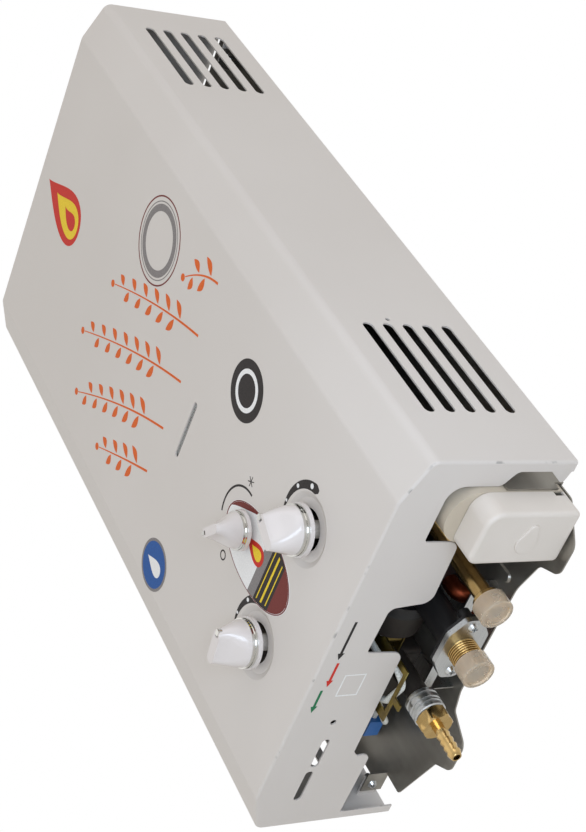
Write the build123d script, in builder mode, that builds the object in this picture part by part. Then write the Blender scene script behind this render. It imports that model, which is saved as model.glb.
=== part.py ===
from build123d import *
import math
import os

os.makedirs("parts", exist_ok=True)

# Frame: origin on the wall plane at the middle of the casing's bottom edge, X right, Y to the wall, Z up

# Casing
CASE_H = 590.0
CASE_W = 332.0
CASE_D = 124.0
CHAMFER_X = 33.0
CHAMFER_Y = 12.4
SHEET = 1.2
BEND_R = 8.0
EDGE_R = 2.0
BACK_RUN = 20.0
HALF_W = CASE_W / 2
FRONT_IN = -CASE_D + SHEET
PLATE_FACE = -SHEET
GAP = 0.3
FIT = 0.05

# Side vents
VENT_W = 8.0
VENT_PITCH = 16.0
VENT_COUNT = 5
VENT_Y = -54.6
VENT_LOW_Z = 96.5
VENT_LOW_L = 95.0
VENT_HIGH_DROP = 83.5
VENT_HIGH_Z = CASE_H - VENT_HIGH_DROP
VENT_HIGH_L = 94.0
PILOT_R = 1.7
PILOT_Y = -66.8
PILOT_Z = 148.5

# Top outlet slots
TOP_SLOT_L = 34.0
TOP_SLOT_W = 8.0
TOP_PITCH_X = 22.0
TOP_PITCH_Y = 44.0
TOP_Y = -58.0
TOP_COUNT = 9

# Controls on the front
KNOB_X = 51.5
KNOB_Z = 69.0
SEASON_Z = 126.5
KNOB_HOLE_R = 14.5
SEASON_HOLE_R = 8.0
DISH_R = 25.5
DISH_STEP = 4.0
DISH_DEPTH = 2.2
KNOB_STAND = 4.0
# Knob sections: share of the rise, length, width, corner radius and shift along the fin
KNOB_SECTIONS = [
    (0.0, 33.0, 33.0, 16.4, 0.0), (0.2, 32.4, 28.5, 14.2, 0.0), (0.48, 30.6, 18.5, 9.1, -0.3),
    (0.76, 28.0, 11.5, 5.6, -0.8), (1.0, 25.0, 8.6, 3.6, -1.4),
]
SKIRT_R = 18.3
SKIRT_H = 3.0
RING_R = 17.4
RING_H = 4.2
RING_GROOVE = 0.7
CORE_R = 15.6
FIN_RISE = 20.8
SEASON_RISE = 19.8
NOTCH_SHARE = 0.86
NOTCH_REACH = 11.2
NOTCH_L = 4.6
NOTCH_W = 3.6
POINTER_OUT = 1.2
POINTER_PROUD = 0.3
POINTER_CORNER = 1.1
RING_GROOVE_START = 1.7
RING_GROOVE_W = 0.9
SEASON_SCALE = 0.79
GAS_TURN = 10.0
WATER_TURN = 70.0
SEASON_TURN = 143.0
SPINDLE_R = 6.0
SEASON_SPINDLE_R = 4.6
SPINDLE_GRIP = 11.0
SPINDLE_SEAT = 24.0
SEASON_SEAT = 33.0
END_PLAY = 1.0

# Sight slot
SIGHT_X = -2.0
SIGHT_Z = 239.0
SIGHT_L = 50.0
SIGHT_W = 5.0
SIGHT_MARGIN = 6.0
MESH_T = 0.6

# Bottom flange openings, as x, y and corner radius
OPENING_X = HALF_W - 8.0
OPENING = [
    (OPENING_X, BACK_RUN / 2, 0.0), (OPENING_X, -1.5, 1.0), (147.5, -4.5, 2.5), (OPENING_X, -17.5, 2.0),
    (OPENING_X, -44.0, 6.0), (146.5, -52.0, 6.0), (146.5, -90.0, 12.0), (101.0, -90.0, 3.0),
    (100.5, -62.0, 8.0), (48.0, -60.0, 8.0), (44.0, -90.5, 6.0), (4.5, -91.5, 3.0),
    (2.5, -61.5, 8.0), (-93.5, -60.0, 3.0), (-98.5, -55.5, 3.0), (-96.5, -44.5, 6.0),
    (-OPENING_X, -45.0, 1.0), (-OPENING_X, BACK_RUN / 2, 0.0),
]
FLANGE_SLOTS = [(-91.5, -88.6, 27.5, 6.0), (-124.3, -89.2, 29.5, 6.0)]
FLANGE_HOLE_X = -60.7
FLANGE_HOLE_Y = -90.6
FLANGE_HOLE_R = 2.3

# Back plate, as x, z and corner radius
PLATE_HALF = 144.0
PLATE_CLEAR = 1.3
PLATE_WIDE = HALF_W - SHEET - PLATE_CLEAR
PLATE_STEP = 46.0
PLATE_TOP_CLEAR = 4.8
PLATE_TOP = CASE_H - SHEET - PLATE_TOP_CLEAR
PLATE_EDGE = [
    (-PLATE_WIDE, PLATE_TOP, 6.0), (-PLATE_WIDE, PLATE_STEP, 3.0), (-PLATE_HALF, PLATE_STEP, 3.0),
    (-PLATE_HALF, -1.0, 3.0), (-94.0, -18.0, 5.0), (-85.0, -33.0, 8.0),
    (-60.0, -33.0, 9.0), (-49.0, -10.0, 5.0), (-34.0, -6.0, 20.0), (62.0, -6.0, 30.0),
    (90.0, -14.0, 8.0), (98.0, -32.0, 8.0), (122.0, -32.0, 10.0), (PLATE_HALF, -10.0, 6.0),
    (PLATE_HALF, PLATE_STEP, 3.0), (PLATE_WIDE, PLATE_STEP, 3.0), (PLATE_WIDE, PLATE_TOP, 6.0),
]
HANGER_X = 60.0
HANGER_DROP = 34.0
HANGER_Z = CASE_H - HANGER_DROP
HANGER_R = 4.2
LOBE_X = (-72.0, 110.0)
LOBE_Z = -20.0
LOBE_HOLE_R = 3.0
RIB_X = 62.0
RIB_W = 8.0
RIB_H = 1.5
RIB_Z0 = 2.0
RIB_TOP_CLEAR = 50.0
RIB_Z1 = CASE_H - RIB_TOP_CLEAR
RIB_TAPER = 35.0

# Cover fixings: side of the case, height of the ledge
FIX_LOW_Z = 17.0
FIX_HIGH_DROP = 44.0
FIX_HIGH_Z = CASE_H - FIX_HIGH_DROP
FIXINGS = [(-1, FIX_LOW_Z), (-1, FIX_HIGH_Z), (1, FIX_HIGH_Z)]
FIX_INSET = 13.0
FIX_X = HALF_W - FIX_INSET
LEDGE_X0 = FIX_X - 11.0
LEDGE_X1 = FIX_X + 7.0
LEDGE_Y = -18.0
LEDGE_RISE = 30.0
EAR_X = FIX_X - 6.0
EAR_BACK = -3.0
FIX_Y = -10.5
SCREW_R = 1.9
SCREW_HEAD_R = 3.6
SCREW_HEAD_H = 2.2
SCREW_L = 9.0
SCREW_HOLE_R = 2.2

# Flue hood
HOOD_TOP_CLEAR = 13.8
HOOD_TOP = CASE_H - SHEET - HOOD_TOP_CLEAR
HOOD_RISE = 84.7
HOOD_Z0 = HOOD_TOP - HOOD_RISE
HOOD_LIP = 12.0
HOOD_NECK_Y = -64.0

# Combustion shell, fins and water coil
SHELL_X = 104.0
COIL_CLEAR = 4.8
SHELL_CLEAR = 2.0
TUBE_R = 6.0
WRAP_FRONT = FRONT_IN + COIL_CLEAR + TUBE_R
SHELL_Y0 = WRAP_FRONT + TUBE_R + SHELL_CLEAR
SHELL_Y1 = -18.0
SHELL_Z0 = 218.0
SHELL_Z1 = HOOD_Z0 - GAP
SHELL_T = 1.0
FIN_X = 88.0
FIN_PITCH = 8.0
FIN_T = 0.8
FIN_DROP = 6.0
FIN_H = 60.0
FIN_Z1 = SHELL_Z1 - FIN_DROP
FIN_Z0 = FIN_Z1 - FIN_H
FIN_MARGIN = 3.0
TUBE_WALL = 1.0
TUBE_BEND = 12.0
ROW_RISE = 28.0
ROW_Z = FIN_Z0 + ROW_RISE
ROW_BACK = 18.0
ROW_FRONT = 20.0
ROW_PITCH = 16.0
ROW_PAIRS = int((SHELL_Y1 - SHELL_Y0 - ROW_BACK - ROW_FRONT) / (2 * ROW_PITCH) + 0.5)
ROW_Y = [SHELL_Y1 - ROW_BACK - ROW_PITCH * row for row in range(2 * ROW_PAIRS)]
U_BEND = ROW_PITCH / 2 - 0.1
TURN_X = SHELL_X + 15.0
WRAP_X = SHELL_X + TUBE_R + SHELL_CLEAR
WRAP_BACK = -10.5
DOWN_X = TURN_X + 9.0
CROSS_Z = 135.0
RISER_X = 43.0
RISER_Y = -29.0
RISER_RUN_Z = 9.8
RISER_BEND = 8.0
CLIMB_X = -4.0
ENTRY_BEND = 7.5
# Corners of the coil round the shell: heights above the shell's foot, for tubes at a set height
WRAP_RISE = (34.0, 40.0, 50.0, 70.0, 82.0, 112.0, 127.0, 152.0, 167.0)
WRAP_FULL_RISE = 234.0
WRAP_Z = [SHELL_Z0 + rise * (ROW_Z - SHELL_Z0) / WRAP_FULL_RISE for rise in WRAP_RISE]
RISER_DRILL = 14.0
SIGHT_CUT_H = 12.0
STRAP_X = 90.0
STRAP_H = 28.0
STRAP_Z0 = FIN_Z0 - 4.0
STRAP_Z1 = STRAP_Z0 + STRAP_H

# Burner
BAR_PITCH = 20.0
BAR_COUNT = 9
BAR_W = 9.0
BAR_Y1 = -26.0
BAR_Z1 = 208.0
BAR_PORTS = 9
PORT_W = 1.4
PORT_DEPTH = 5.0
MOUTH_R = 3.6
MOUTH_DEPTH = 30.0
RAIL_W = 4.0
RAIL_Z0 = 158.0
RAIL_Z1 = 162.0
BAR_SEAT = 0.2
BAR_Z0 = RAIL_Z1 + BAR_SEAT
FRAME_Z0 = 150.0
MANIFOLD_CLEAR = 6.8
MANIFOLD_D = 14.0
MANIFOLD_Y0 = FRONT_IN + MANIFOLD_CLEAR
MANIFOLD_Y1 = MANIFOLD_Y0 + MANIFOLD_D
FRAME_Y0 = MANIFOLD_Y0
MANIFOLD_Z0 = 166.0
MANIFOLD_Z1 = 180.0
INJECTOR_Z = (MANIFOLD_Z0 + MANIFOLD_Z1) / 2
INJECTOR_R = 3.0
INJECTOR_CLEAR = 1.2
INJECTOR_L = 6.8
BAR_Y0 = MANIFOLD_Y1 + INJECTOR_L + INJECTOR_CLEAR
ORIFICE_R = 0.6
ELECTRODE_X = (-12.0, 12.0)
ELECTRODE_R = 3.0
ELECTRODE_CLEAR = 0.4
ELECTRODE_Y = MANIFOLD_Y1 + ELECTRODE_R + ELECTRODE_CLEAR
ELECTRODE_MARGIN = 8.0
ELECTRODE_EDGE = 4.0
ELECTRODE_Z0 = 174.0
ELECTRODE_Z1 = 206.0
TIP_R = 0.8
TIP_Z = 222.0
TIP_REACH = 12.6
TIP_Y = ELECTRODE_Y + TIP_REACH
TIP_BEND = 4.0

# Gas and water valve
VALVE_Y0 = -76.0
VALVE_Y1 = -22.0
VALVE_Z0 = 24.0
VALVE_Z1 = 100.0
GAS_X0 = -80.0
GAS_X1 = -22.0
WATER_X0 = 18.0
WATER_X1 = 66.0
VALVE_EDGE = 4.0
ROD_Y = -50.0
ROD_Z = 46.0
ROD_R = 2.5
PLUNGER_R = 8.0
PLUNGER_T = 4.0
SEAT_X = -41.5
SEAT_CLEAR = 0.5
PLUNGER_X = SEAT_X - SEAT_CLEAR - PLUNGER_T
SEAT_R = 5.0
CHAMBER_R = 11.0
GLAND_X = -30.0
SPRING_R = 6.0
SPRING_WIRE = 0.6
SPRING_X0 = GAS_X0 + 1.5
SPRING_X1 = PLUNGER_X - 1.0
SPRING_TURNS = 7
SOLENOID_R = 13.5
SOLENOID_X = -112.0
DIAPHRAGM_R = 27.0
DIAPHRAGM_T = 1.2
DIAPHRAGM_X = 12.8
HOUSING_X0 = -4.0
HOUSING_FLOOR = 0.0
HOUSING_R = 19.0
CHAMBER_DEPTH = 10.0
BODY_DISC_X = DIAPHRAGM_X + DIAPHRAGM_T
DISC_PLATE_R = 14.0
DISC_PLATE_T = 2.9
DISC_PLATE_X1 = DIAPHRAGM_X - 0.4
DISC_PLATE_X0 = DISC_PLATE_X1 - DISC_PLATE_T
CLAMP_PCD = 46.0
CLAMP_COUNT = 6
CLAMP_R = 1.6
CLAMP_HEAD_R = 3.0
CLAMP_HEAD_H = 2.0
CLAMP_END = 17.0
COLLAR_R = 5.0

# Switch lever and its bracket
LEVER_X = -12.0
LEVER_T = 1.5
COLLAR_CLEAR = 1.15
COLLAR_T = 2.0
COLLAR_X0 = LEVER_X + LEVER_T / 2 + COLLAR_CLEAR
PIVOT_Z = 28.0
PIVOT_R = 1.5
HUB_R = 3.0
LEVER_W = 14.0
LEVER_Y0 = ROD_Y - LEVER_W / 2
LEVER_Y1 = ROD_Y + LEVER_W / 2
LEVER_TOP = 60.0
FORK_W = 8.0
FORK_H = 10.0
FORK_Z0 = ROD_Z - FORK_H / 2
FORK_Z1 = ROD_Z + FORK_H / 2
BRACKET_T = 1.2
EAR_REACH = -7.5
APRON_X0 = -54.0
APRON_Z0 = -9.0
APRON_WINDOW = (-47.0, -12.5, -6.0, 16.0)
TONGUE_X = (-36.0, -31.0)
TONGUE_Z = -17.0
SWITCH_MARGIN = 4.0
SWITCH_PLATE_TOP = 70.0
SWITCH_X = -10.4
SWITCH_Y0 = -60.0
SWITCH_Y1 = -40.0
SWITCH_Z0 = 52.5
SWITCH_Z1 = 65.6

# Gas inlet
GAS_PIPE_X = -30.0
GAS_PIPE_Y = -40.0
NECK_R = 8.0
NECK_END = -30.0
COLLAR_Z0 = -28.0
COLLAR_Z1 = -12.0
GAS_COLLAR_R = 11.5
NUT_AF = 21.0
NUT_TURN = 15.0
NUT_Z0 = -38.5
NUT_Z1 = COLLAR_Z0 - 0.4
BARB_R = 4.0
SHANK_R = 4.6
SHANK_LEAD = 0.4
BARB_BORE_R = 2.6
BARB_END = -65.0
BARB_HEAD_R = 7.6
BARB_HEAD_T = 2.4

# Cold inlet
COLD_X = 28.0
COLD_Y = -40.0
THREAD_R = 10.48
COLD_NECK_R = 11.0
BASE_Z1 = -17.8
BOSS_R = 4.4
BOSS_TOP = -10.0
FLANGE_Z0 = -24.0
FLANGE_Z1 = -20.0
BASE_SEAT = 0.2
BASE_Z0 = FLANGE_Z1 + BASE_SEAT
FLANGE_EDGE = [
    (-12.0, -16.0, 5.0), (12.0, -16.0, 5.0), (25.5, -6.0, 6.0), (25.5, 6.0, 6.0),
    (12.0, 16.0, 5.0), (-12.0, 16.0, 5.0), (-25.5, 6.0, 6.0), (-25.5, -6.0, 6.0),
]
FLANGE_SCREW_DX = 19.5
FLANGE_SCREW_R = 2.0
FLANGE_HEAD_R = 4.0
FLANGE_HEAD_H = 2.4
FLANGE_SCREW_TOP = -12.0
NIPPLE_END = -45.0
NIPPLE_BORE_R = 7.5
NIPPLE_SPIGOT_R = 9.4
NIPPLE_TOP = -21.0
CAP_LIFT = 0.35
CAP_WALL = 0.75
CAP_R = THREAD_R + CAP_LIFT + CAP_WALL
CAP_ROUND = 1.0
CAP_FLOOR = 1.2
CAP_RECESS_R = 9.0
CAP_RECESS = 1.4
COLD_CAP_TOP = -36.0

# Hot outlet
HOT_X = 73.0
HOT_Y = -42.0
HOT_R = 6.35
HOT_BORE_R = 5.0
HOT_TOP = 110.0
SHOULDER_R = 9.2
SHOULDER_Z = -22.5
HOT_THREAD_Z = -25.5
HOT_END = -36.0
HOT_CAP_TOP = -27.0

# Strip, posts and legs behind the valves
STRIP_X0 = -38.0
STRIP_X1 = 52.0
STRIP_Y0 = -28.6
STRIP_Z = 1.5
POST_X = (-38.0, 22.0)
POST_W = 14.0
POST_TOP = 60.0
LEG_TOP = 14.0

# Season valve and gas tubes
SEASON_BODY_R = 12.0
SEASON_CLEAR = 8.8
SEASON_Y0 = FRONT_IN + SEASON_CLEAR
SEASON_Y1 = -62.0
GAS_TUBE_R = 5.0
GAS_TUBE_BEND = 10.0
GAS_TUBE_X = -40.0
GAS_TUBE_Y = -68.0
FEED_Y = MANIFOLD_Y0 + 9.0
FEED_R = 5.0

# Igniter
IGNITER_CLEAR = 24.8
IGNITER_W = 44.0
IGNITER_X0 = -HALF_W + SHEET + IGNITER_CLEAR
IGNITER_X1 = IGNITER_X0 + IGNITER_W
IGNITER_Y0 = -32.0
IGNITER_Z0 = 50.0
IGNITER_Z1 = 130.0
IGNITER_EDGE = 3.0
PLUG_W = 14.0
PLUG_INSET = 2.0
PLUG_X1 = IGNITER_X1 - PLUG_INSET
PLUG_X0 = PLUG_X1 - PLUG_W
PLUG_Y0 = -30.0
PLUG_Y1 = -18.0
PLUG_Z0 = 28.0
SLEEVE_R = 2.5
SLEEVE_ROUTE = [
    (-88.0, -24.0, 34.0, 5.0), (-84.0, -30.0, 15.0, 7.0), (-52.0, -54.2, 10.0, 7.0),
    (-43.0, -54.4, 0.0, 6.0), (-22.0, -54.4, -7.5, 5.0), (-17.0, -56.0, 4.0, 5.0),
    (-16.0, -64.5, 9.0, 4.0), (-15.0, -64.5, 59.0, 4.0), (-7.2, -64.5, 59.0, 2.6),
]

# Battery box
BOX_X0 = 104.5
BOX_X1 = 146.0
BOX_Y0 = -86.5
BOX_Y1 = -2.7
BOX_NOSE = 20.0
BOX_BACK = 4.0
BOX_SEAM = -4.7
BOX_WALL = 1.4
LID_Y0 = -74.2
LID_NEAR = 7.0
LID_FAR = 12.0
LID_Z = -26.0
LID_ROUND = 3.0
LID_LIP = 4.0
LID_LIP_T = 1.2
LID_LIP_W = 16.0
LID_NOTCH_L = 11.0
LID_NOTCH_H = 4.0
THUMB_X = 122.0
THUMB_Y = -36.8
THUMB_R = 8.0
THUMB_TAIL_X = 133.5
THUMB_TAIL_Y = -36.0
THUMB_TAIL_R = 3.4
THUMB_RISE = 1.4
THUMB_ROUND = 0.6
CONTACT_T = 0.6
CELL_DY = 34.3
CONTACT_R = 12.0
CONTACT_PIP_R = 3.0
CONTACT_PIP_H = 2.0
CELL_L = 61.5
CELL_PLAY = 0.5
BOX_TOP = LID_Z + 2 * (BOX_WALL + CONTACT_T) + CELL_L + CELL_PLAY + CONTACT_PIP_H
BOX_ARM_Y0 = -62.0
BOX_ARM_Z0 = 2.0
BOX_ARM_DROP = 4.0
BOX_TONGUE_Y0 = -50.0
BOX_TONGUE_Y1 = -9.0
BOX_TONGUE_Z0 = -4.0
BOX_FOOT_INSET = 10.0


def rounded(points, closed=True):
    """Straight runs through points with an arc at each corner; a point is its place, then its radius."""
    count = len(points)
    starts = []
    ends = []
    middles = []
    for i, point in enumerate(points):
        here = Vector(*point[:-1])
        radius = point[-1]
        if radius == 0 or (not closed and i in (0, count - 1)):
            starts.append(here)
            ends.append(here)
            middles.append(None)
            continue
        back = (Vector(*points[i - 1][:-1]) - here).normalized()
        ahead = (Vector(*points[(i + 1) % count][:-1]) - here).normalized()
        half = math.acos(max(-1.0, min(1.0, back.dot(ahead)))) / 2
        reach = radius / math.tan(half)
        starts.append(here + back * reach)
        ends.append(here + ahead * reach)
        middles.append(here + (back + ahead).normalized() * (radius / math.sin(half) - radius))
    for i in range(count):
        if middles[i] is not None:
            ThreePointArc(starts[i], middles[i], ends[i])
        if i + 1 < count or closed:
            Line(ends[i], starts[(i + 1) % count])


def block(x0, x1, y0, y1, z0, z1, mode=Mode.ADD):
    """Box between two corners."""
    with Locations(((x0 + x1) / 2, (y0 + y1) / 2, (z0 + z1) / 2)):
        Box(x1 - x0, y1 - y0, z1 - z0, mode=mode)


def bar(start, axis, radius, length, mode=Mode.ADD):
    """Cylinder that runs from a point along an axis."""
    with Locations(Plane(origin=start, z_dir=axis)):
        Cylinder(radius, length, align=(Align.CENTER, Align.CENTER, Align.MIN), mode=mode)


def save(part, label):
    """Name the piece and write its file."""
    part.label = label
    export_step(part, f"parts/{label}.step")


RIGHT = (1, 0, 0)
LEFT = (-1, 0, 0)
BACK = (0, 1, 0)
FRONT = (0, -1, 0)
UP = (0, 0, 1)
DOWN = (0, 0, -1)
CASE_EDGE = [
    (-HALF_W, BACK_RUN, 0.0), (-HALF_W, -CASE_D + CHAMFER_Y, BEND_R),
    (-HALF_W + CHAMFER_X, -CASE_D, BEND_R), (HALF_W - CHAMFER_X, -CASE_D, BEND_R),
    (HALF_W, -CASE_D + CHAMFER_Y, BEND_R), (HALF_W, BACK_RUN, 0.0),
]
BIG_KNOBS = [(-KNOB_X, KNOB_Z), (KNOB_X, KNOB_Z)]

# Front cover: folded sheet, open at the back
with BuildPart() as front_cover:
    with BuildSketch():
        with BuildLine():
            rounded(CASE_EDGE)
        make_face()
    extrude(amount=CASE_H)
    fillet(front_cover.faces().sort_by(Axis.Z)[-1].edges(), EDGE_R)
    fillet(front_cover.faces().sort_by(Axis.Z)[0].edges(), EDGE_R)
    with BuildSketch(Plane.XY.offset(SHEET)):
        with BuildLine():
            rounded(CASE_EDGE)
        make_face()
        offset(amount=-SHEET, kind=Kind.INTERSECTION, mode=Mode.REPLACE)
    extrude(amount=CASE_H - 2 * SHEET, mode=Mode.SUBTRACT)
    block(-CASE_W, CASE_W, 0.0, 2 * BACK_RUN, -BACK_RUN, CASE_H + BACK_RUN, mode=Mode.SUBTRACT)
    with BuildSketch(Plane.XY.offset(-SHEET)):
        with BuildLine():
            rounded(OPENING)
        make_face()
        for slot_x, slot_y, slot_l, slot_w in FLANGE_SLOTS:
            with Locations((slot_x, slot_y)):
                SlotOverall(slot_l, slot_w)
        with Locations((FLANGE_HOLE_X, FLANGE_HOLE_Y)):
            Circle(FLANGE_HOLE_R)
    extrude(amount=3 * SHEET, mode=Mode.SUBTRACT)
    with BuildSketch(Plane.YZ.offset(-CASE_W)):
        for vent_z, vent_l in ((VENT_LOW_Z, VENT_LOW_L), (VENT_HIGH_Z, VENT_HIGH_L)):
            with Locations((VENT_Y, vent_z)):
                with GridLocations(VENT_PITCH, 1, VENT_COUNT, 1):
                    SlotOverall(vent_l, VENT_W, rotation=90)
    extrude(amount=2 * CASE_W, mode=Mode.SUBTRACT)
    bar((HALF_W - 2 * SHEET, PILOT_Y, PILOT_Z), RIGHT, PILOT_R, 3 * SHEET, mode=Mode.SUBTRACT)
    with BuildSketch(Plane.XY.offset(CASE_H - 2 * SHEET)):
        with Locations((0, TOP_Y)):
            with GridLocations(TOP_PITCH_X, TOP_PITCH_Y, TOP_COUNT, 2):
                SlotOverall(TOP_SLOT_L, TOP_SLOT_W, rotation=90)
    extrude(amount=3 * SHEET, mode=Mode.SUBTRACT)
    for knob_x, knob_z in BIG_KNOBS:
        with Locations(Plane(origin=(knob_x, FRONT_IN, knob_z), z_dir=BACK)):
            Cone(DISH_R + SHEET, DISH_R + SHEET - DISH_STEP, DISH_DEPTH,
                 align=(Align.CENTER, Align.CENTER, Align.MIN))
        with Locations(Plane(origin=(knob_x, -CASE_D, knob_z), z_dir=BACK)):
            Cone(DISH_R, DISH_R - DISH_STEP, DISH_DEPTH,
                 align=(Align.CENTER, Align.CENTER, Align.MIN), mode=Mode.SUBTRACT)
        bar((knob_x, -CASE_D - SHEET, knob_z), BACK, KNOB_HOLE_R, 6 * SHEET, mode=Mode.SUBTRACT)
    bar((0, -CASE_D - SHEET, SEASON_Z), BACK, SEASON_HOLE_R, 6 * SHEET, mode=Mode.SUBTRACT)
    with BuildSketch(Plane.XZ.offset(CASE_D + SHEET)):
        with Locations((SIGHT_X, SIGHT_Z)):
            SlotOverall(SIGHT_L, SIGHT_W)
    extrude(amount=-4 * SHEET, mode=Mode.SUBTRACT)
    for side, ledge_z in FIXINGS:
        ear_z = ledge_z + SHEET + GAP
        block(min(side * EAR_X, side * (HALF_W - SHEET / 2)), max(side * EAR_X, side * (HALF_W - SHEET / 2)),
              LEDGE_Y, EAR_BACK, ear_z, ear_z + SHEET)
        bar((side * FIX_X, FIX_Y, ear_z - SHEET), UP, SCREW_HOLE_R, 3 * SHEET, mode=Mode.SUBTRACT)

# Back plate with scalloped lower edge, ribs, hanger holes and ledges for the cover
with BuildPart() as back_plate:
    with BuildSketch(Plane.XZ):
        with BuildLine():
            rounded(PLATE_EDGE)
        make_face()
    extrude(amount=SHEET)
    for rib_x in (-RIB_X, RIB_X):
        with BuildSketch(Plane.XZ.offset(SHEET)):
            with Locations((rib_x, (RIB_Z0 + RIB_Z1) / 2)):
                SlotOverall(RIB_Z1 - RIB_Z0, RIB_W, rotation=90)
        extrude(amount=RIB_H, taper=RIB_TAPER)
    for side, ledge_z in FIXINGS:
        left_x = min(side * LEDGE_X0, side * LEDGE_X1)
        right_x = max(side * LEDGE_X0, side * LEDGE_X1)
        block(left_x, right_x, PLATE_FACE, 0, ledge_z, ledge_z + LEDGE_RISE)
        block(left_x, right_x, LEDGE_Y, 0, ledge_z, ledge_z + SHEET)
        bar((side * FIX_X, FIX_Y, ledge_z - SHEET), UP, SCREW_HOLE_R, 3 * SHEET, mode=Mode.SUBTRACT)
    for hole_x in (-HANGER_X, HANGER_X):
        bar((hole_x, SHEET, HANGER_Z), FRONT, HANGER_R, 5 * SHEET, mode=Mode.SUBTRACT)
    for hole_x in LOBE_X:
        bar((hole_x, SHEET, LOBE_Z), FRONT, LOBE_HOLE_R, 5 * SHEET, mode=Mode.SUBTRACT)

# Cover screws, driven up through the ledges
with BuildPart() as cover_screws:
    for side, ledge_z in FIXINGS:
        bar((side * FIX_X, FIX_Y, ledge_z - SCREW_HEAD_H), UP, SCREW_HEAD_R, SCREW_HEAD_H)
        bar((side * FIX_X, FIX_Y, ledge_z), UP, SCREW_R, SCREW_L)

# Sight mesh behind the slot in the front
with BuildPart() as sight_mesh:
    block(SIGHT_X - SIGHT_L / 2 - SIGHT_MARGIN, SIGHT_X + SIGHT_L / 2 + SIGHT_MARGIN,
          FRONT_IN + GAP / 3, FRONT_IN + GAP / 3 + MESH_T,
          SIGHT_Z - SIGHT_W / 2 - SIGHT_MARGIN, SIGHT_Z + SIGHT_W / 2 + SIGHT_MARGIN)

# Combustion shell: open copper box, pierced for the water tubes
with BuildPart() as combustion_shell:
    block(-SHELL_X, SHELL_X, SHELL_Y0, SHELL_Y1, SHELL_Z0, SHELL_Z1)
    block(-SHELL_X + SHELL_T, SHELL_X - SHELL_T, SHELL_Y0 + SHELL_T, SHELL_Y1 - SHELL_T,
          SHELL_Z0 - SHELL_T, SHELL_Z1 + SHELL_T, mode=Mode.SUBTRACT)
    for row_y in ROW_Y:
        bar((-CASE_W, row_y, ROW_Z), RIGHT, TUBE_R + FIT, 2 * CASE_W, mode=Mode.SUBTRACT)
    with BuildSketch(Plane.XZ.offset(-SHELL_Y0 + SHELL_T)):
        with Locations((SIGHT_X, SIGHT_Z)):
            SlotOverall(SIGHT_L + SIGHT_CUT_H, SIGHT_CUT_H)
    extrude(amount=-3 * SHELL_T, mode=Mode.SUBTRACT)

# Fins of the heat exchanger
with BuildPart() as exchanger_fins:
    fin_count = int(2 * FIN_X / FIN_PITCH) + 1
    with Locations((0, (SHELL_Y0 + SHELL_Y1) / 2, (FIN_Z0 + FIN_Z1) / 2)):
        with GridLocations(FIN_PITCH, 1, fin_count, 1):
            Box(FIN_T, SHELL_Y1 - SHELL_Y0 - 2 * FIN_MARGIN, FIN_Z1 - FIN_Z0)
    for row_y in ROW_Y:
        bar((-SHELL_X, row_y, ROW_Z), RIGHT, TUBE_R + FIT, 2 * SHELL_X, mode=Mode.SUBTRACT)

# Water coil: riser, two turns round the shell, passes through the fins, run to the outlet
row_turns = []
for row, (near_y, next_y) in enumerate(zip(ROW_Y, ROW_Y[1:])):
    turn_x = -TURN_X if row % 2 == 0 else TURN_X
    row_turns += [(turn_x, near_y, ROW_Z, U_BEND), (turn_x, next_y, ROW_Z, U_BEND)]
with BuildPart() as water_coil:
    with BuildLine() as coil_path:
        rounded([
            (RISER_X, RISER_Y, VALVE_Z0 - FIT, 0), (RISER_X, RISER_Y, RISER_RUN_Z, RISER_BEND),
            (RISER_X, WRAP_BACK, RISER_RUN_Z, RISER_BEND), (CLIMB_X, WRAP_BACK, RISER_RUN_Z, TUBE_BEND),
            (CLIMB_X, WRAP_BACK, WRAP_Z[0], TUBE_BEND),
            (-WRAP_X, WRAP_BACK, WRAP_Z[1], TUBE_BEND), (-WRAP_X, WRAP_FRONT, WRAP_Z[2], TUBE_BEND),
            (WRAP_X, WRAP_FRONT, WRAP_Z[3], TUBE_BEND), (WRAP_X, WRAP_BACK, WRAP_Z[4], TUBE_BEND),
            (-WRAP_X, WRAP_BACK, WRAP_Z[5], TUBE_BEND), (-WRAP_X, WRAP_FRONT, WRAP_Z[6], TUBE_BEND),
            (WRAP_X, WRAP_FRONT, WRAP_Z[7], TUBE_BEND), (WRAP_X, ROW_Y[0], WRAP_Z[8], TUBE_BEND),
            (WRAP_X, ROW_Y[0], ROW_Z, ENTRY_BEND),
            *row_turns,
            (DOWN_X, ROW_Y[-1], ROW_Z, TUBE_BEND), (DOWN_X, ROW_Y[-1], CROSS_Z, TUBE_BEND),
            (HOT_X, HOT_Y, CROSS_Z, TUBE_BEND), (HOT_X, HOT_Y, HOT_TOP + FIT, 0),
        ], closed=False)
    with BuildSketch(Plane(origin=coil_path.line @ 0, z_dir=coil_path.line % 0)):
        Circle(TUBE_R)
        Circle(TUBE_R - TUBE_WALL, mode=Mode.SUBTRACT)
    sweep(path=coil_path.line)

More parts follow.
